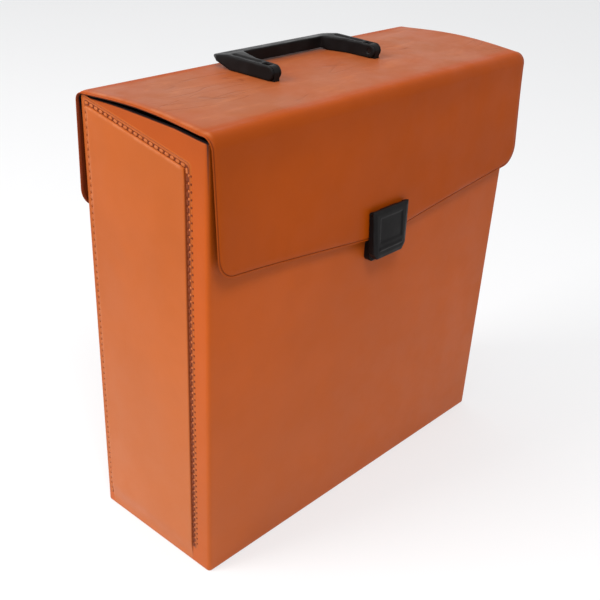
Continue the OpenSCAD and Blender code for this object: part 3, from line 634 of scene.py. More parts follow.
# Widths in millimetres of the rings inside the edge of a vinyl sheet and of an inner skin.
RING_STEPS = (0.12, 0.23, 0.65, 0.2, 0.15, 0.2, 0.35, 0.6, 0.9, 1.3, 1.9, 2.6, 3.4)
SKIN_STEPS = (1.0, 1.0, 1.0, 1.0)
# The widest gap between cuts on the flat, beside a fold and in it, and how far beside reaches.
FLAT_NET = 7 * MM
EASE_NET = 1.6 * MM
BEND_NET = 1.2 * MM
EASE = 8 * MM


def flat_sheet(hull, path, rings=RING_STEPS):
    """A flat sheet in X and s, with rings inside its edge and cuts fine enough to bend."""
    bm = bmesh.new()
    face = bm.faces.new([bm.verts.new((x, s, 0.0)) for x, s in hull])
    face.normal_update()
    inset(bm, face, [step * MM for step in rings])
    half = max(x for x, s in hull)
    last = max(s for x, s in hull)
    inner = sum(rings) * MM
    for x in spread(-half + inner, half - inner, FLAT_NET):
        cut(bm, (x, 0, 0), (1, 0, 0))
    before, after = max(path.bend_from - EASE, 0.0), path.bend_to + EASE
    places = spread(path.bend_from, path.bend_to, BEND_NET) + [path.bend_from, path.bend_to]
    places += spread(before, path.bend_from, EASE_NET) + spread(path.bend_to, after, EASE_NET)
    places += spread(0.0, before, FLAT_NET) + spread(after, last - inner, FLAT_NET)
    for s in places:
        if s > 0.0:
            cut(bm, (0, s, 0), (0, 1, 0))
    cut(bm, (0, 0, 0), (0, 1, 0), clear_inner=True)
    return bm


# How steeply the lid's arch, the flap's bow and its left curl grow toward the sides.
ARCH_ALONG = 1.2
ARCH_ACROSS = 4
BOW_ACROSS = 2.2
CURL_ACROSS = 6
CURL_EASE = 15 * MM


def lid_arch(x, s, path, half):
    """How far the lid's ends curl up between its two folds."""
    size = sizes()
    y = path.at(min(s, path.bend_from))[0]
    front, rear = PIVOTS["flap_fold"].y, PIVOTS["lid_hinge"].y
    off = (2 * y - rear - front) / (rear - front)
    return size.arch * max(0.0, 1 - off * off) ** ARCH_ALONG * (abs(x) / half) ** ARCH_ACROSS


def flap_warp(x, s, path, half, length):
    """How far the flap stands out of its flat plane, at its lower corners and along its left edge."""
    size = sizes()
    down = smooth_step((s - path.bend_to) / length)
    bow = size.bow * down * (abs(x) / half) ** BOW_ACROSS
    past = max(s - path.bend_from, 0.0)
    return bow + size.curl * (1 - math.exp(-past / CURL_EASE)) * max(-x / half, 0.0) ** CURL_ACROSS


# The pale line inside a sheet's edge, partly wear and partly painted highlight, and its share on a flap; the
# share of the weld groove's painted shade on the lid.
PALE_LINE_AT = 3.5 * MM
PALE_LINE_HALF = 3 * MM
FLAP_WEAR_AND_HIGHLIGHT = 0.25
LID_WELD_SHADE = 0.3
# Painted shade below a fold: its amount, start and reach.
FOLD_SHADE = 0.16
SHADE_FROM = 3 * MM
SHADE_REACH = 30 * MM
# The lid's upper side, as its dust and scuffs see it, leaves out a border and the fold.
BORDER = 2 * MM
BORDER_EASE = 7 * MM
FOLD_EASE = 8 * MM
SKEW_EASE = 60 * MM


def bend_sheet(bm, path, hull, height, thickness, skew=0.0):
    """Lay a flat sheet along its path, mark its wear, painted highlight and painted shade, and give it
    thickness downward.
    """
    distance = edge_distance(hull, skip_below=0.0)
    flat = [(v.co.x, v.co.y) for v in bm.verts]
    pale_tone, weld, painted_shade, upper = add_marks(bm, "wear_and_highlight", "weld", "painted_shade", "upper")
    for vert, (x, s), d in zip(bm.verts, flat, distance(flat)):
        y, z = path.at(s, height(x, s, d))
        vert.co = (x + skew * smooth_step(s / SKEW_EASE), y, z)
        on_flap = smooth_step((s - path.bend_from) / path.radius)
        # Wear and painted highlight along the shoulder, much fainter on a flap.
        line = max(0.0, 1.0 - abs(d - PALE_LINE_AT) / PALE_LINE_HALF)
        vert[pale_tone] = (1 - (1 - FLAP_WEAR_AND_HIGHLIGHT) * on_flap) * line
        # Painted shade in the weld groove, fainter on the lid than on the flaps.
        vert[weld] = (LID_WELD_SHADE + (1 - LID_WELD_SHADE) * on_flap) * weld_share(d)
        # Painted shade on the flap just below the fold.
        below_fold = smooth_step((s - path.bend_from - SHADE_FROM) / (4 * MM))
        vert[painted_shade] = FOLD_SHADE * below_fold * path.share(s, SHADE_REACH)
        before_fold = smooth_step((path.bend_from - MM - s) / FOLD_EASE)
        vert[upper] = before_fold * smooth_step((d - BORDER) / BORDER_EASE)
    if path.way < 0:
        bmesh.ops.reverse_faces(bm, faces=bm.faces[:])
    bm.normal_update()
    outer = set(bm.verts)
    bmesh.ops.solidify(bm, geom=bm.faces[:], thickness=thickness)
    # Painted shade on the sheet's underside.
    for vert in set(bm.verts) - outer:
        vert[painted_shade] = 1.0


PAD_WAVES = 14.0


def slow_waves(x, s, seed, amount):
    """A gentle unevenness of a padded face."""
    return amount * noise.noise(Vector((x * PAD_WAVES, s * PAD_WAVES, seed)))


# Unevenness of the lid and flaps, and how far from an edge and from a fold it is at its full height.
FLAP_WAVES = 0.3 * MM
CLEAR_OF_EDGE = 14 * MM
CLEAR_OF_FOLD = 16 * MM


def lid_level():
    low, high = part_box("lid_cover")
    return high.z, high.y


def front_path():
    top, seam_y = lid_level()
    return FoldPath(seam_y, PIVOTS["flap_fold"], top, leaning_angle("flap_skin"))


def rear_path():
    top, seam_y = lid_level()
    return FoldPath(seam_y, PIVOTS["lid_hinge"], top, leaning_angle("rear_flap_skin"))


def fold_ends(path, slack=3 * MM):
    """The points between which a sheet bends at its fold: on the lid, and on the flap."""
    on_lid = path.at(path.bend_from - slack)
    on_flap = path.at(path.bend_to + slack)
    return (0.0, *on_lid), (0.0, *on_flap)


class PieceOperator:
    """What the operators share: the panel lists them, and each can be undone."""

    bl_options = {"REGISTER", "UNDO"}


class RECORDCASE_OT_box(PieceOperator, bpy.types.Operator):
    """Wrap the box's walls and base in one vinyl skin, turned down inside the mouth"""

    bl_idname = "record_case.box"
    bl_label = "Box Vinyl"

    # Cuts beside the upright edges and above the foot, and the widest gap between the others.
    BESIDE_EDGE = (5.5 * MM, 9 * MM, 14 * MM)
    ABOVE_FOOT = (3 * MM, 6 * MM, 11 * MM)
    BELOW_LIP = 18 * MM
    NET = 16 * MM
    NEAR = 0.5 * MM
    # Edges that turn by more than this are rounded over, each kind with its own number of faces.
    SHARP_TURN = 1.0
    BACK_FACES = 5
    FRONT_FACES = 6
    RIM_FACES = 4
    # Wear on the upright edges and on the foot: its amount and its reach.
    CORNER_WEAR = (0.45, 6 * MM)
    FOOT_WEAR = (0.8, 5 * MM)
    FACE_BAND = 2 * MM
    # Painted shade on the lip, in the lining's colour: its start inside the outer face, and its depth below
    # the mouth.
    LIP_SHADE_FROM = 0.3 * MM
    LIP_SHADE_DEPTH = 30 * MM
    # Painted shade on the end walls under the lid: its amount, its depth and how deep in the wall.
    UNDER_LID_SHADE = 0.28
    UNDER_LID_DEPTH = 45 * MM
    UNDER_LID_SKIN = 3 * MM
    # The hump of an end wall: its depth, its clear ends, and its rise from front, back and below.
    HUMP_DEPTH = 60 * MM
    HUMP_FROM = 2 * MM
    HUMP_RISE = (28 * MM, 45 * MM, 50 * MM)
    END_BAND = 12 * MM
    WAVE_CLEAR = 40 * MM
    WAVE_SCALE = 9.0

    def execute(self, context):
        size = sizes()
        low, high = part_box("wall_cover")
        front_top = max(p.z for p in node_points("wall_cover") if p.y < low.y + self.NEAR)
        slope = (high.z - front_top) / (high.y - low.y)
        bm = bmesh.new()
        bmesh.ops.create_cube(bm, size=1.0)
        bmesh.ops.scale(bm, vec=(high.x - low.x, high.y - low.y, high.z), verts=bm.verts)
        middle = ((high.x + low.x) / 2, (high.y + low.y) / 2, high.z / 2)
        bmesh.ops.translate(bm, vec=middle, verts=bm.verts)
        for vert in bm.verts:
            if vert.co.z > high.z / 2:
                vert.co.z = high.z - slope * (high.y - vert.co.y)
        top = max(bm.faces, key=lambda face: face.calc_center_median().z)
        inset(bm, top, [size.wall])
        mouth = list(top.edges)
        bmesh.ops.delete(bm, geom=[top], context="FACES_ONLY")
        down = bmesh.ops.extrude_edge_only(bm, edges=mouth)["geom"]
        bmesh.ops.translate(bm, vec=(0, 0, -size.turn_in), verts=only_verts(down))
        upright = self.upright(bm, low, high)
        front = [e for e in upright if e.verts[0].co.y < 0]
        bevel(bm, [e for e in upright if e not in front], size.back_corner, self.BACK_FACES)
        bevel(bm, front, size.corner, self.FRONT_FACES)
        foot = [e for e in self.sharp_edges(bm) if all(v.co.z < MM for v in e.verts)]
        bevel(bm, foot, size.foot, self.RIM_FACES)
        rim = [e for e in self.sharp_edges(bm) if all(v.co.z > front_top - MM for v in e.verts)]
        bevel(bm, rim, size.lip, self.RIM_FACES)
        self.refine(bm, low, high)
        self.mark_wear_and_shade(bm, low, high)
        self.warp(bm, low, high)
        bmesh.ops.recalc_face_normals(bm, faces=bm.faces[:])
        bmesh.ops.solidify(bm, geom=bm.faces[:], thickness=size.vinyl)
        piece = new_piece("box_vinyl", bm, "grained_vinyl", "case")
        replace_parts(piece, "wall_cover", "base_cover")
        return {"FINISHED"}

    def sharp_edges(self, bm):
        return [e for e in bm.edges if len(e.link_faces) == 2 and e.calc_face_angle() > self.SHARP_TURN]

    def upright(self, bm, low, high):
        """The four outer upright edges."""
        def outside(v):
            return (min(abs(v.co.x - low.x), abs(v.co.x - high.x)) < self.NEAR
                    and min(abs(v.co.y - low.y), abs(v.co.y - high.y)) < self.NEAR)
        return [e for e in bm.edges if all(outside(v) for v in e.verts)
                and abs(e.verts[0].co.z - e.verts[1].co.z) > high.z / 3]

    def refine(self, bm, low, high):
        """Cuts beside the edges, and an even net over the walls."""
        beside = self.BESIDE_EDGE
        walls = ((Vector((1, 0, 0)), low.x, high.x), (Vector((0, 1, 0)), low.y, high.y))
        for axis, lowest, highest in walls:
            places = [lowest + b for b in beside] + [highest - b for b in beside]
            for at in places + spread(lowest + beside[-1], highest - beside[-1], self.NET):
                cut(bm, axis * at, axis)
        top = high.z - self.BELOW_LIP
        for z in (*self.ABOVE_FOOT, *spread(self.ABOVE_FOOT[-1], top, self.NET)):
            cut(bm, (0, 0, z), (0, 0, 1))

    def mark_wear_and_shade(self, bm, low, high):
        """Wear at the upright edges and the foot, painted shade in the lining's colour on the lip, and
        painted shade on the end walls under the lid.
        """
        pale_tone, lip_shade, painted_shade = add_marks(bm, "wear_and_highlight", "lip_shade", "painted_shade")
        for vert in bm.verts:
            x = min(vert.co.x - low.x, high.x - vert.co.x)
            y = min(vert.co.y - low.y, high.y - vert.co.y)
            beside_corner = self.CORNER_WEAR[0] - (x + y) / self.CORNER_WEAR[1]
            near_foot = self.FOOT_WEAR[0] - vert.co.z / self.FOOT_WEAR[1]
            vert[pale_tone] = max(0.0, beside_corner, near_foot if min(x, y) < self.FACE_BAND else 0.0)
            # Painted shade on the lip and the turn-in, in the lining's colour.
            inside = smooth_step((min(x, y) - self.LIP_SHADE_FROM) / (2 * self.LIP_SHADE_FROM))
            below_top = high.z - vert.co.z
            vert[lip_shade] = inside * smooth_step((self.LIP_SHADE_DEPTH - below_top) / (4 * MM))
            # Painted shade of the lid on the end walls.
            under_lid = smooth_step((self.UNDER_LID_DEPTH - below_top) / (40 * MM))
            vert[painted_shade] = self.UNDER_LID_SHADE * under_lid * smooth_step(1 - x / self.UNDER_LID_SKIN)

    def warp(self, bm, low, high):
        """Let the end walls' top edge rise between its corners, and the front and back walls wave."""
        size = sizes()
        front_rise, back_rise, low_rise = self.HUMP_RISE
        for vert in bm.verts:
            x, y, z = vert.co
            on_end = smooth_step((abs(x) - high.x + self.END_BAND) / (self.END_BAND / 2))
            behind_front = smooth_step((y - low.y - self.HUMP_FROM) / front_rise)
            before_back = smooth_step((high.y + self.HUMP_FROM - y) / back_rise)
            near_top = smooth_step((z - high.z + self.HUMP_DEPTH) / low_rise)
            vert.co.z += size.hump * on_end * behind_front * before_back * near_top
            if min(y - low.y, high.y - y) < 0.01 * MM:
                clear = smooth_step(min(high.x - abs(x), z, high.z - z) / self.WAVE_CLEAR)
                wave = size.wave * clear * (0.5 + noise.noise(Vector((x, y, z)) * self.WAVE_SCALE))
                vert.co.y += math.copysign(max(wave, 0.0), y)


class RECORDCASE_OT_lid(PieceOperator, bpy.types.Operator):
    """Make the one vinyl sheet that covers the lid, bends at its front and covers the front flap"""

    bl_idname = "record_case.lid"
    bl_label = "Lid and Front Flap"

    SEED = 3.0
    CROWN_EASE = 20 * MM

    def execute(self, context):
        size = sizes()
        path = front_path()
        hull = path.outline("flap_cover", size.sag)
        half = max(x for x, s in hull)
        reach = max(s for x, s in hull) - path.bend_to

        def warp(x, s):
            return lid_arch(x, s, path, half) + flap_warp(x, s, path, half, reach)

        def outer(x, s, d):
            crown = size.crown * (1 - (x / half) ** 2) * smooth_step(s / self.CROWN_EASE)
            crown *= smooth_step((path.bend_from - s) / self.CROWN_EASE)
            level = smooth_step(d / CLEAR_OF_EDGE) * smooth_step(s / CLEAR_OF_FOLD)
            waves = slow_waves(x, s, self.SEED, FLAP_WAVES) * level
            return padded_height(d) + crown + waves + warp(x, s)

        def inner(x, s, d):
            return skin_height(d, s, path, size.lid_board, size.flap_margin) + warp(x, s)

        on_lid, on_flap = fold_ends(path)
        bm = flat_sheet(hull, path)
        bend_sheet(bm, path, hull, outer, size.vinyl, size.skew)
        cover = new_piece("lid_and_flap_vinyl", bm, "lid_vinyl")
        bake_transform(cover, "lid", "flap", start=on_lid, end=on_flap)
        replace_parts(cover, "lid_cover", "lid_board", "flap_cover", "flap_board", "front_fold_strip")
        bm = flat_sheet(skin_outline(hull, path, size.flap_margin), path, SKIN_STEPS)
        bend_sheet(bm, path, hull, inner, size.skin, size.skew)
        skin = new_piece("lid_and_flap_inner_skin", bm, "dark_skin")
        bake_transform(skin, "lid", "flap", start=on_lid, end=on_flap)
        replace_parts(skin, "lid_skin", "flap_skin")
        return {"FINISHED"}


class RECORDCASE_OT_rear_flap(PieceOperator, bpy.types.Operator):
    """Make the vinyl of the rear fold and the riveted rear flap"""

    bl_idname = "record_case.rear_flap"
    bl_label = "Rear Flap"

    SEED = 8.0
    # Each rivet pulls the vinyl down into a shallow dent.
    DENT_DEPTH = 0.25 * MM
    DENT_RADIUS = 6 * MM

    def execute(self, context):
        size = sizes()
        path = rear_path()
        hull = path.outline("rear_flap_cover")
        half = max(x for x, s in hull)
        on_lid, on_flap = fold_ends(path)
        rivets = loose_centres("rear_flap_rivets")

        def outer(x, s, d):
            y, z = path.at(s)
            away = min((x - p.x) ** 2 + (z - p.z) ** 2 for p in rivets)
            dent = math.exp(-away / self.DENT_RADIUS ** 2)
            level = smooth_step(d / CLEAR_OF_EDGE) * smooth_step((s - path.bend_to) / CLEAR_OF_FOLD)
            waves = slow_waves(x, s, self.SEED, FLAP_WAVES) * level * (1 - dent)
            return padded_height(d) + waves - self.DENT_DEPTH * dent + lid_arch(x, s, path, half)

        def inner(x, s, d):
            return skin_height(d, s, path, size.rear_board, size.rear_margin) + lid_arch(x, s, path, half)

        bm = flat_sheet(hull, path)
        bend_sheet(bm, path, hull, outer, size.vinyl)
        cover = new_piece("rear_flap_vinyl", bm, "lid_vinyl")
        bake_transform(cover, "case", "lid", start=on_flap, end=on_lid)
        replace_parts(cover, "rear_flap_cover", "rear_flap_board", "back_fold_strip")
        bm = flat_sheet(skin_outline(hull, path, size.rear_margin), path, SKIN_STEPS)
        bend_sheet(bm, path, hull, inner, size.skin)
        skin = new_piece("rear_flap_inner_skin", bm, "dark_skin")
        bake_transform(skin, "case", "lid", start=on_flap, end=on_lid)
        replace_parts(skin, "rear_flap_skin")
        return {"FINISHED"}


class EndFace:
    """The flat end of the box, drawn in Y and Z, and how it turns into the left or right end."""

    TURN_STEPS = 4

    def __init__(self, side):
        self.side = side
        self.node = "left_end_panel" if side < 0 else "right_end_panel"
        self.name = "left" if side < 0 else "right"
        self.face_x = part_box("wall_cover")[1].x
        corners = simple_corners(convex_outline([(p.y, p.z) for p in node_points(self.node)]))
        half_way = sum(p.y for p in corners) / len(corners)
        self.low, self.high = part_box(self.node)
        upper = sorted((p for p in corners if p.y > half_way), key=lambda p: p.x)
        lower = sorted((p for p in corners if p.y < half_way), key=lambda p: p.x)
        upper[0].x -= sizes().pad_lean
        self.corners = [lower[0], lower[-1], upper[-1], upper[0]]

    def place(self, y, z, rise):
        return self.side * (self.face_x + rise), y, z

    def track(self, offset, front_foot=15 * MM, rear_foot=10 * MM, radius=2.5 * MM):
        """The line at an offset outside the pad, from the front foot over the top to the rear foot."""
        front_low, rear_low, rear_high, front_high = self.corners
        sides = []
        for a, b in ((front_low, front_high), (front_high, rear_high), (rear_high, rear_low)):
            along = (b - a).normalized()
            outward = Vector((-along.y, along.x)) * offset
            sides.append((a + outward, b + outward))
        turns = []
        for a, b in zip(sides, sides[1:]):
            turns.append(geometry.intersect_line_line_2d(*self.longer(*a), *self.longer(*b)))
        start, finish = sides[0][0], sides[-1][1]
        start = start.lerp(turns[0], (front_foot - start.y) / (turns[0].y - start.y))
        finish = finish.lerp(turns[1], (rear_foot - finish.y) / (turns[1].y - finish.y))
        line = [start]
        for before, corner, after in ((start, *turns), (*turns, finish)):
            a = corner + (before - corner).normalized() * radius
            b = corner + (after - corner).normalized() * radius
            for t in (i / self.TURN_STEPS for i in range(self.TURN_STEPS + 1)):
                line.append(a.lerp(corner, t).lerp(corner.lerp(b, t), t))
        return line + [finish]

    @staticmethod
    def longer(a, b):
        return a - (b - a), b + (b - a)


class RECORDCASE_OT_end_pads(PieceOperator, bpy.types.Operator):
    """Make the raised padded panel on each end of the box"""

    bl_idname = "record_case.end_pads"
    bl_label = "End Pads"

    RING_STEPS = (0.15, 0.3, 0.45, 0.6, 0.9, 1.4, 2.4, 4.0)
    # The pad sinks to the wall over its lowest stretch, where the net is finer.
    NET = 8 * MM
    CROSS_NET = 7 * MM
    FOOT_NET = 3 * MM
    FOOT_ROWS = 7
    SHELL = 0.6 * MM
    WAVES = 0.35 * MM
    # How far the pad's border lies under the wall's face, and its lowest part over it.
    SUNK = 0.25 * MM
    PROUD = 0.03 * MM
    # How far in from the border the crown and the waves reach their full height.
    CROWN_EASE = 32 * MM
    WAVE_EASE = 20 * MM
    SINK_EASE = 16 * MM
    # Painted shade along the front edge, and the painted highlight line round the rest: its middle and half
    # its width.
    FRONT_BAND = 4 * MM
    FRONT_EDGE_SHADE = 0.8
    SHADE_EASE = 0.6 * MM
    PALE_LINE_AT = 1.0 * MM
    PALE_LINE_HALF = 1.8 * MM
    SEED = 20.0
    FILL = 0.4

    def execute(self, context):
        for side in (-1, 1):
            self.make_pad(EndFace(side))
        return {"FINISHED"}

    def make_pad(self, end):
        size = sizes()
        bm = bmesh.new()
        corners = end.corners
        face = bm.faces.new([bm.verts.new((y, z, 0.0)) for y, z in corners])
        face.normal_update()
        inset(bm, face, [step * MM for step in self.RING_STEPS])
        low, high = end.low, end.high
        for y in spread(low.y - size.pad_lean, high.y, self.CROSS_NET):
            cut(bm, (y, 0, 0), (1, 0, 0))
        rows = [low.z + (i + 1) * self.FOOT_NET for i in range(self.FOOT_ROWS)]
        for z in rows + spread(rows[-1], high.z, self.NET):
            cut(bm, (0, z, 0), (0, 1, 0))
        round_corners(bm, corners, size.pad_corner)
        distance = edge_distance(corners)
        flat = [(v.co.x, v.co.y) for v in bm.verts]
        pale_tone, painted_shade = add_marks(bm, "wear_and_highlight", "painted_shade")
        for vert, (y, z), d in zip(bm.verts, flat, distance(flat)):
            if vert.is_boundary:
                d = 0.0
            # Painted shade along the pad's front edge.
            on_front = smooth_step((low.y + self.FRONT_BAND - y) / MM)
            vert[painted_shade] = self.FRONT_EDGE_SHADE * on_front * smooth_step(1.0 - d / self.SHADE_EASE)
            t = min(d / size.pad_edge, 1.0)
            edge = math.sqrt(max(0.0, 1 - (1 - t) ** 2))
            crown = size.pad_crown * smooth_step(d / self.CROWN_EASE)
            fade = smooth_step((z - low.z - self.FOOT_NET) / self.SINK_EASE)
            waves = slow_waves(y, z, self.SEED + end.side, self.WAVES) * smooth_step(d / self.WAVE_EASE)
            rise = (size.pad * edge + crown + waves) * fade
            vert.co = end.place(y, z, rise + (-self.SUNK if vert.is_boundary else self.PROUD))
            # Painted highlight along the pad's edge, left off its front edge.
            line = max(0.0, 1.0 - abs(d - self.PALE_LINE_AT) / self.PALE_LINE_HALF)
            vert[pale_tone] = line * fade * (1 - on_front)
        if end.side < 0:
            bmesh.ops.reverse_faces(bm, faces=bm.faces[:])
        bm.normal_update()
        bmesh.ops.solidify(bm, geom=bm.faces[:], thickness=self.SHELL)
        piece = new_piece(f"{end.name}_end_pad", bm, "end_vinyl", "case")
        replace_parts(piece, end.node)


class RECORDCASE_OT_stitches(PieceOperator, bpy.types.Operator):
    """Lay the stitched band round each end pad: seam line, stitches, knots and needle holes"""

    bl_idname = "record_case.stitches"
    bl_label = "End Stitching"

    # Offset from the pad, rise above the wall, and painted shade at the front, along the top and at the
    # rear.
    BAND = (
        (0.0, 0.02, (1.0, 1.0, 0.5)),
        (0.25, 0.05, (1.0, 1.0, 0.5)),
        (2.45, 0.05, (1.0, 1.0, 0.45)),
        (2.75, 0.30, (1.0, 0.0, 0.0)),
        (3.7, 0.30, (0.4, 0.0, 0.0)),
        (3.95, 0.05, (0.1, 0.5, 0.15)),
        (4.35, 0.05, (0.1, 0.5, 0.15)),
        (4.6, 0.22, (0.0, 0.0, 0.0)),
        (5.3, 0.02, (0.0, 0.0, 0.0)),
    )
    BAND_SHELL = 0.2 * MM
    # Length along the seam, width and height of a knot and of a needle hole.
    KNOT = (1.7 * MM, 1.5 * MM, 1.3 * MM)
    HOLE = (1.5 * MM, 1.2 * MM, 0.5 * MM)
    # The share of a block that its rounded edges take, and how deep a block's foot sits in the band.
    ROUNDING = 0.24
    FOOT = 0.05 * MM
    # A stitch is high and pale, a painted highlight, where it is not shaded; low and in painted shade at the
    # front.
    FRONT_SHADE = 0.9
    CLEAN_RISE = 2.0
    SHADED_DROP = 1.1
    CLEAN_HIGHLIGHT = 0.7

    def execute(self, context):
        for side in (-1, 1):
            end = EndFace(side)
            self.make_band(end)
            self.make_stitches(end)
        return {"FINISHED"}

    @staticmethod
    def stretch_share(i):
        """0 on the front stretch of a track, 1 along the top and 2 at the rear, eased at the turns."""
        first_turn, second_turn = (i - 1) / EndFace.TURN_STEPS, (i - 6) / EndFace.TURN_STEPS
        return min(max(first_turn, 0.0), 1.0) + min(max(second_turn, 0.0), 1.0)

    def make_band(self, end):
        """The strip beside the pad: a floor for the stitches, a low welt and a seam line."""
        bm = bmesh.new()
        painted_shade, = add_marks(bm, "painted_shade")
        row = []
        for offset, rise, shade in self.BAND:
            line = end.track(offset * MM)
            if row:
                edges = [bm.edges.get(pair) for pair in zip(row, row[1:])]
                grown = bmesh.ops.extrude_edge_only(bm, edges=edges)["geom"]
                fresh = {v.co.copy().freeze(): v for v in only_verts(grown)}
                row = [fresh[v.co.copy().freeze()] for v in row]
            else:
                row = [bm.verts.new(end.place(p.x, p.y, i * MM)) for i, p in enumerate(line)]
                for pair in zip(row, row[1:]):
                    bm.edges.new(pair)
            for i, (vert, p) in enumerate(zip(row, line)):
                stretch = self.stretch_share(i)
                before = min(int(stretch), 1)
                vert.co = end.place(p.x, p.y, rise * MM)
                # Painted shade on the band: dark between the stitches and along the seam line, heaviest at
                # the front.
                vert[painted_shade] = shade[before] + (shade[before + 1] - shade[before]) * (stretch - before)
        bmesh.ops.recalc_face_normals(bm, faces=bm.faces[:])
        if bm.faces[0].normal.x * end.side < 0:
            bmesh.ops.reverse_faces(bm, faces=bm.faces[:])
        bmesh.ops.solidify(bm, geom=bm.faces[:], thickness=self.BAND_SHELL)
        new_piece(f"{end.name}_stitch_band", bm, "end_vinyl", "case")

    def make_stitches(self, end):
        """Rounded stitches beside the pad, with knots and needle holes beside its front edge."""
        size = sizes()
        bm = bmesh.new()
        bmesh.ops.create_cube(bm, size=1.0)
        bevel(bm, bm.edges[:], self.ROUNDING, 1)
        cut(bm, (0, 0, 0), (0, 0, 1), clear_inner=True)
        bmesh.ops.holes_fill(bm, edges=bm.edges[:])
        add_marks(bm, "painted_shade", "wear_and_highlight")
        stitch = bpy.data.meshes.new("stitch")
        bm.to_mesh(stitch)
        bm.clear()
        line = end.track(size.stitch_at)
        lengths = [(b - a).length for a, b in zip(line, line[1:])]
        total = sum(lengths)
        count = round(total / size.pitch)
        for i in range(count):
            place, along, index = self.walk(line, lengths, (i + 0.5) * total / count)
            # Painted shade on the front stitches.
            shade = self.FRONT_SHADE if index == 0 else 0.0
            high = size.stitch_high * (self.CLEAN_RISE - self.SHADED_DROP * shade)
            shape = (size.stitch_long, size.stitch_wide, high)
            self.lay(bm, stitch, end, place, along, shape, shade)
            if index == 0:
                outward = Vector((-along.y, along.x))
                between = place + along * size.pitch / 2
                knot = between + outward * (size.knot_at - size.stitch_at)
                # Knots get a painted highlight, needle holes painted shade.
                self.lay(bm, stitch, end, knot, along, self.KNOT, 0.0)
                hole = between + outward * (size.hole_at - size.stitch_at)
                self.lay(bm, stitch, end, hole, along, self.HOLE, 1.0)
        bpy.data.meshes.remove(stitch)
        new_piece(f"{end.name}_end_stitches", bm, "end_vinyl", "case", sharp=math.pi)

    @staticmethod
    def walk(line, lengths, at):
        """The place, the direction and the stretch at a distance along a line."""
        for i, (a, b, length) in enumerate(zip(line, line[1:], lengths)):
            if at <= length:
                return a.lerp(b, at / length), (b - a).normalized(), i
            at -= length
        return line[-1], (line[-1] - line[-2]).normalized(), len(lengths)

    def lay(self, bm, shape, end, place, along, size, shade):
        """Set one small rounded block down on the wall, along the seam."""
        before = set(bm.verts)
        bm.from_mesh(shape)
        fresh = [v for v in bm.verts if v not in before]
        out = Vector((end.side, 0, 0))
        forward = Vector((0, along.x, along.y))
        turned = Matrix((forward, out.cross(forward), out)).transposed().to_4x4()
        foot = Matrix.Translation(end.place(place.x, place.y, self.FOOT))
        bmesh.ops.transform(bm, matrix=foot @ turned @ Matrix.Diagonal((*size, 1.0)), verts=fresh)
        painted_shade, pale_tone = bm.verts.layers.float["painted_shade"], bm.verts.layers.float["wear_and_highlight"]
        for vert in fresh:
            vert[painted_shade] = shade
            vert[pale_tone] = self.CLEAN_HIGHLIGHT * (1 - shade)


def even_net(name, node, cell):
    """A closed net of even cells over a solid's surface, with its flat faces kept flat."""
    bm = bmesh.new()
    bm.from_mesh(NODES[node].data)
    bmesh.ops.remove_doubles(bm, verts=bm.verts[:], dist=DOUBLES)
    mesh = bpy.data.meshes.new(name)
    bm.to_mesh(mesh)
    model = put_in_scene(name, mesh)
    remesh = model.modifiers.new("even_cells", "REMESH")
    remesh.mode = "VOXEL"
    remesh.voxel_size = cell
    bm.clear()
    bm.from_object(model, bpy.context.evaluated_depsgraph_get())
    bpy.data.objects.remove(model)
    bpy.data.meshes.remove(mesh)
    return bm


SMOOTHING = 0.5
EDGE_WEAR_AND_HIGHLIGHT = 1.5


def softened_copy(name, node, body, cell, rounds):
    """A copy of a moulded solid with its edges worn round, which stands for it."""
    bm = even_net(name, node, cell)
    for _ in range(rounds):
        bmesh.ops.smooth_vert(
            bm, verts=bm.verts[:], factor=SMOOTHING, use_axis_x=True, use_axis_y=True, use_axis_z=True
        )
    pale_tone, = add_marks(bm, "wear_and_highlight")
    # Convex edges are marked pale: partly wear, partly painted highlight.
    for vert in bm.verts:
        turns = [edge.calc_face_angle_signed(0.0) for edge in vert.link_edges]
        vert[pale_tone] = min(max(EDGE_WEAR_AND_HIGHLIGHT * sum(turns) / len(turns), 0.0), 1.0)
    piece = new_piece(name, bm, "moulded_black_plastic", body, sharp=math.pi)
    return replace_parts(piece, node)


class RECORDCASE_OT_handle(PieceOperator, bpy.types.Operator):
    """Round over the moulded handle"""

    bl_idname = "record_case.handle"
    bl_label = "Handle"

    def execute(self, context):
        softened_copy("carrying_handle", "handle", "handle", cell=0.5 * MM, rounds=8)
        return {"FINISHED"}


class RECORDCASE_OT_latch(PieceOperator, bpy.types.Operator):
    """Round over the latch lever and the keeper"""

    bl_idname = "record_case.latch"
    bl_label = "Latch"

    def execute(self, context):
        softened_copy("latch_cover", "latch_lever", "latch", cell=0.4 * MM, rounds=3)
        softened_copy("keeper_block", "keeper", "case", cell=0.4 * MM, rounds=5)
        return {"FINISHED"}


SOLID_FINISHES = {
    "moulded_black_plastic": ("handle_bracket_left", "handle_bracket_right", "latch_base"),
    "chipboard": ("base_board", "front_board", "back_board", "left_end_board", "right_end_board"),
    "lining_paper": ("base_lining", "front_lining", "back_lining", "left_lining", "right_lining"),
    "plated_steel": ("rear_flap_rivets", "keeper_rivets", "keeper_washers", "handle_rivets", "handle_bar",
                     "latch_rivets", "latch_washers"),
    "blackened_steel": ("handle_pin_left", "handle_pin_right", "latch_pin"),
}


class RECORDCASE_OT_solids(PieceOperator, bpy.types.Operator):
    """Give the boards, linings, brackets, rivets and pins their materials"""

    bl_idname = "record_case.solids"
    bl_label = "Boards, Linings and Rivets"

    def execute(self, context):
        for finish, names in SOLID_FINISHES.items():
            for name in names:
                mesh = NODES[name].data
                mesh.materials.clear()
                mesh.materials.append(material(finish))
        return {"FINISHED"}


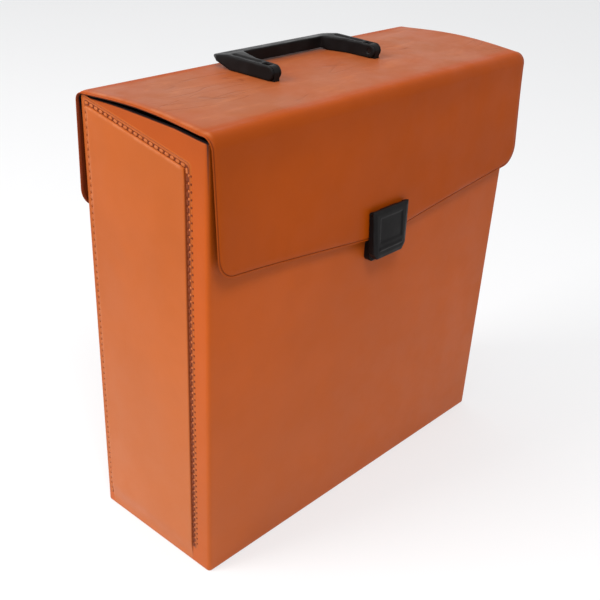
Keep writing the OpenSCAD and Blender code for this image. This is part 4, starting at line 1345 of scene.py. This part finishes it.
class RECORDCASE_OT_stage(PieceOperator, bpy.types.Operator):
    """Set the pale floor, the soft lamps, the sky and the camera"""

    bl_idname = "record_case.stage"
    bl_label = "Stage and Camera"

    CAMERA_PLACE = (-0.5166, -0.4420, 0.4983)
    CAMERA_TURN = (59.099, -2.672, -47.341)
    SENSOR = 36.0
    LENS = 56.13
    SHIFT_UP = 0.0949
    # Each lamp's place, width, power and colour.
    LAMPS = {
        "key_lamp": ((-1.55, 0.75, 1.35), 1.0, 31.0, (1.0, 0.985, 0.96)),
        "fill_lamp": ((-0.75, -1.0, 1.70), 0.55, 17.5, (1.0, 0.99, 0.98)),
        "top_lamp": ((0.0, 0.5, 2.1), 1.4, 6.0, (1.0, 0.99, 0.98)),
    }
    AIM = (0.0, 0.0, 0.17)
    # Colour and strength of the sky as a light, and of the white that is seen behind the case.
    SKY_LIGHT = ((0.95, 0.97, 1.0), 0.55)
    BACKDROP = ((0.93, 0.94, 0.95), 1.0)
    FLOOR_REACH = 4.0
    FLOOR_GLOW = 0.55

    def execute(self, context):
        scene = context.scene
        scene.view_settings.view_transform = "Standard"
        self.make_floor()
        self.make_sky(scene)
        for name, settings in self.LAMPS.items():
            self.make_lamp(name, *settings)
        camera = bpy.data.cameras.new("photo_camera")
        camera.lens = self.LENS
        camera.sensor_width = self.SENSOR
        camera.shift_y = self.SHIFT_UP
        holder = put_in_scene("photo_camera", camera)
        holder.location = self.CAMERA_PLACE
        holder.rotation_euler = [math.radians(a) for a in self.CAMERA_TURN]
        scene.camera = holder
        return {"FINISHED"}

    def make_floor(self):
        bm = bmesh.new()
        bmesh.ops.create_grid(bm, x_segments=8, y_segments=8, size=self.FLOOR_REACH)
        mesh = bpy.data.meshes.new("studio_floor")
        bm.to_mesh(mesh)
        bm.free()
        s = Surface("studio_floor", roughness=0.7, specular=0.2)
        base = colours().floor
        s.finish(s.mix(s.noise(3.0, 2.0), tinted(base, 0.985), tinted(base, 1.01)))
        glow = s.add("ShaderNodeEmission")
        both = s.add("ShaderNodeMixShader")
        out = s.tree.nodes["Material Output"]
        s.feed(both.inputs["Fac"], s.math("MULTIPLY", seen_directly(s.tree), self.FLOOR_GLOW))
        s.feed(both.inputs[1], s.shader.outputs["BSDF"])
        s.feed(both.inputs[2], glow.outputs["Emission"])
        s.feed(out.inputs["Surface"], both.outputs["Shader"])
        mesh.materials.append(s.material)
        put_in_scene("studio_floor", mesh)

    def make_sky(self, scene):
        world = bpy.data.worlds.new("studio_sky")
        scene.world = world
        world.use_nodes = True
        tree = world.node_tree
        tree.nodes.clear()
        mix = tree.nodes.new("ShaderNodeMixShader")
        tree.links.new(seen_directly(tree), mix.inputs["Fac"])
        for socket, (colour, strength) in zip(mix.inputs[1:], (self.SKY_LIGHT, self.BACKDROP)):
            background = tree.nodes.new("ShaderNodeBackground")
            background.inputs["Color"].default_value = (*colour, 1.0)
            background.inputs["Strength"].default_value = strength
            tree.links.new(background.outputs[0], socket)
        out = tree.nodes.new("ShaderNodeOutputWorld")
        tree.links.new(mix.outputs[0], out.inputs["Surface"])

    def make_lamp(self, name, place, size, power, colour):
        lamp = bpy.data.lights.new(name, "AREA")
        lamp.shape = "SQUARE"
        lamp.size = size
        lamp.energy = power
        lamp.color = colour
        holder = put_in_scene(name, lamp)
        holder.location = place
        aim = Vector(self.AIM) - Vector(place)
        holder.rotation_euler = aim.to_track_quat("-Z", "Y").to_euler()


STEPS = (
    RECORDCASE_OT_box,
    RECORDCASE_OT_lid,
    RECORDCASE_OT_rear_flap,
    RECORDCASE_OT_end_pads,
    RECORDCASE_OT_stitches,
    RECORDCASE_OT_handle,
    RECORDCASE_OT_latch,
    RECORDCASE_OT_solids,
    RECORDCASE_OT_stage,
)


class RECORDCASE_PT_panel(bpy.types.Panel):
    """Lists the sizes, the colours and the pieces of the record case"""

    bl_idname = "RECORDCASE_PT_panel"
    bl_label = "Record Case"
    bl_space_type = "VIEW_3D"
    bl_region_type = "UI"
    bl_category = "Record Case"

    def draw(self, context):
        for group in (context.scene.record_case_sizes, context.scene.record_case_colours):
            column = self.layout.column(align=True)
            for name in group.bl_rna.properties.keys():
                if name not in ("rna_type", "name"):
                    column.prop(group, name)
        column = self.layout.column(align=True)
        for step in STEPS:
            column.operator(step.bl_idname)


CLASSES = (CaseSizes, CaseColours, *STEPS, RECORDCASE_PT_panel)


def register():
    for cls in CLASSES:
        bpy.utils.register_class(cls)
    bpy.types.Scene.record_case_sizes = bpy.props.PointerProperty(type=CaseSizes)
    bpy.types.Scene.record_case_colours = bpy.props.PointerProperty(type=CaseColours)


def unregister():
    del bpy.types.Scene.record_case_colours
    del bpy.types.Scene.record_case_sizes
    for cls in reversed(CLASSES):
        bpy.utils.unregister_class(cls)


def main():
    register()
    for step in STEPS:
        group, name = step.bl_idname.split(".")
        getattr(getattr(bpy.ops, group), name)()


if __name__ == "__main__":
    main()
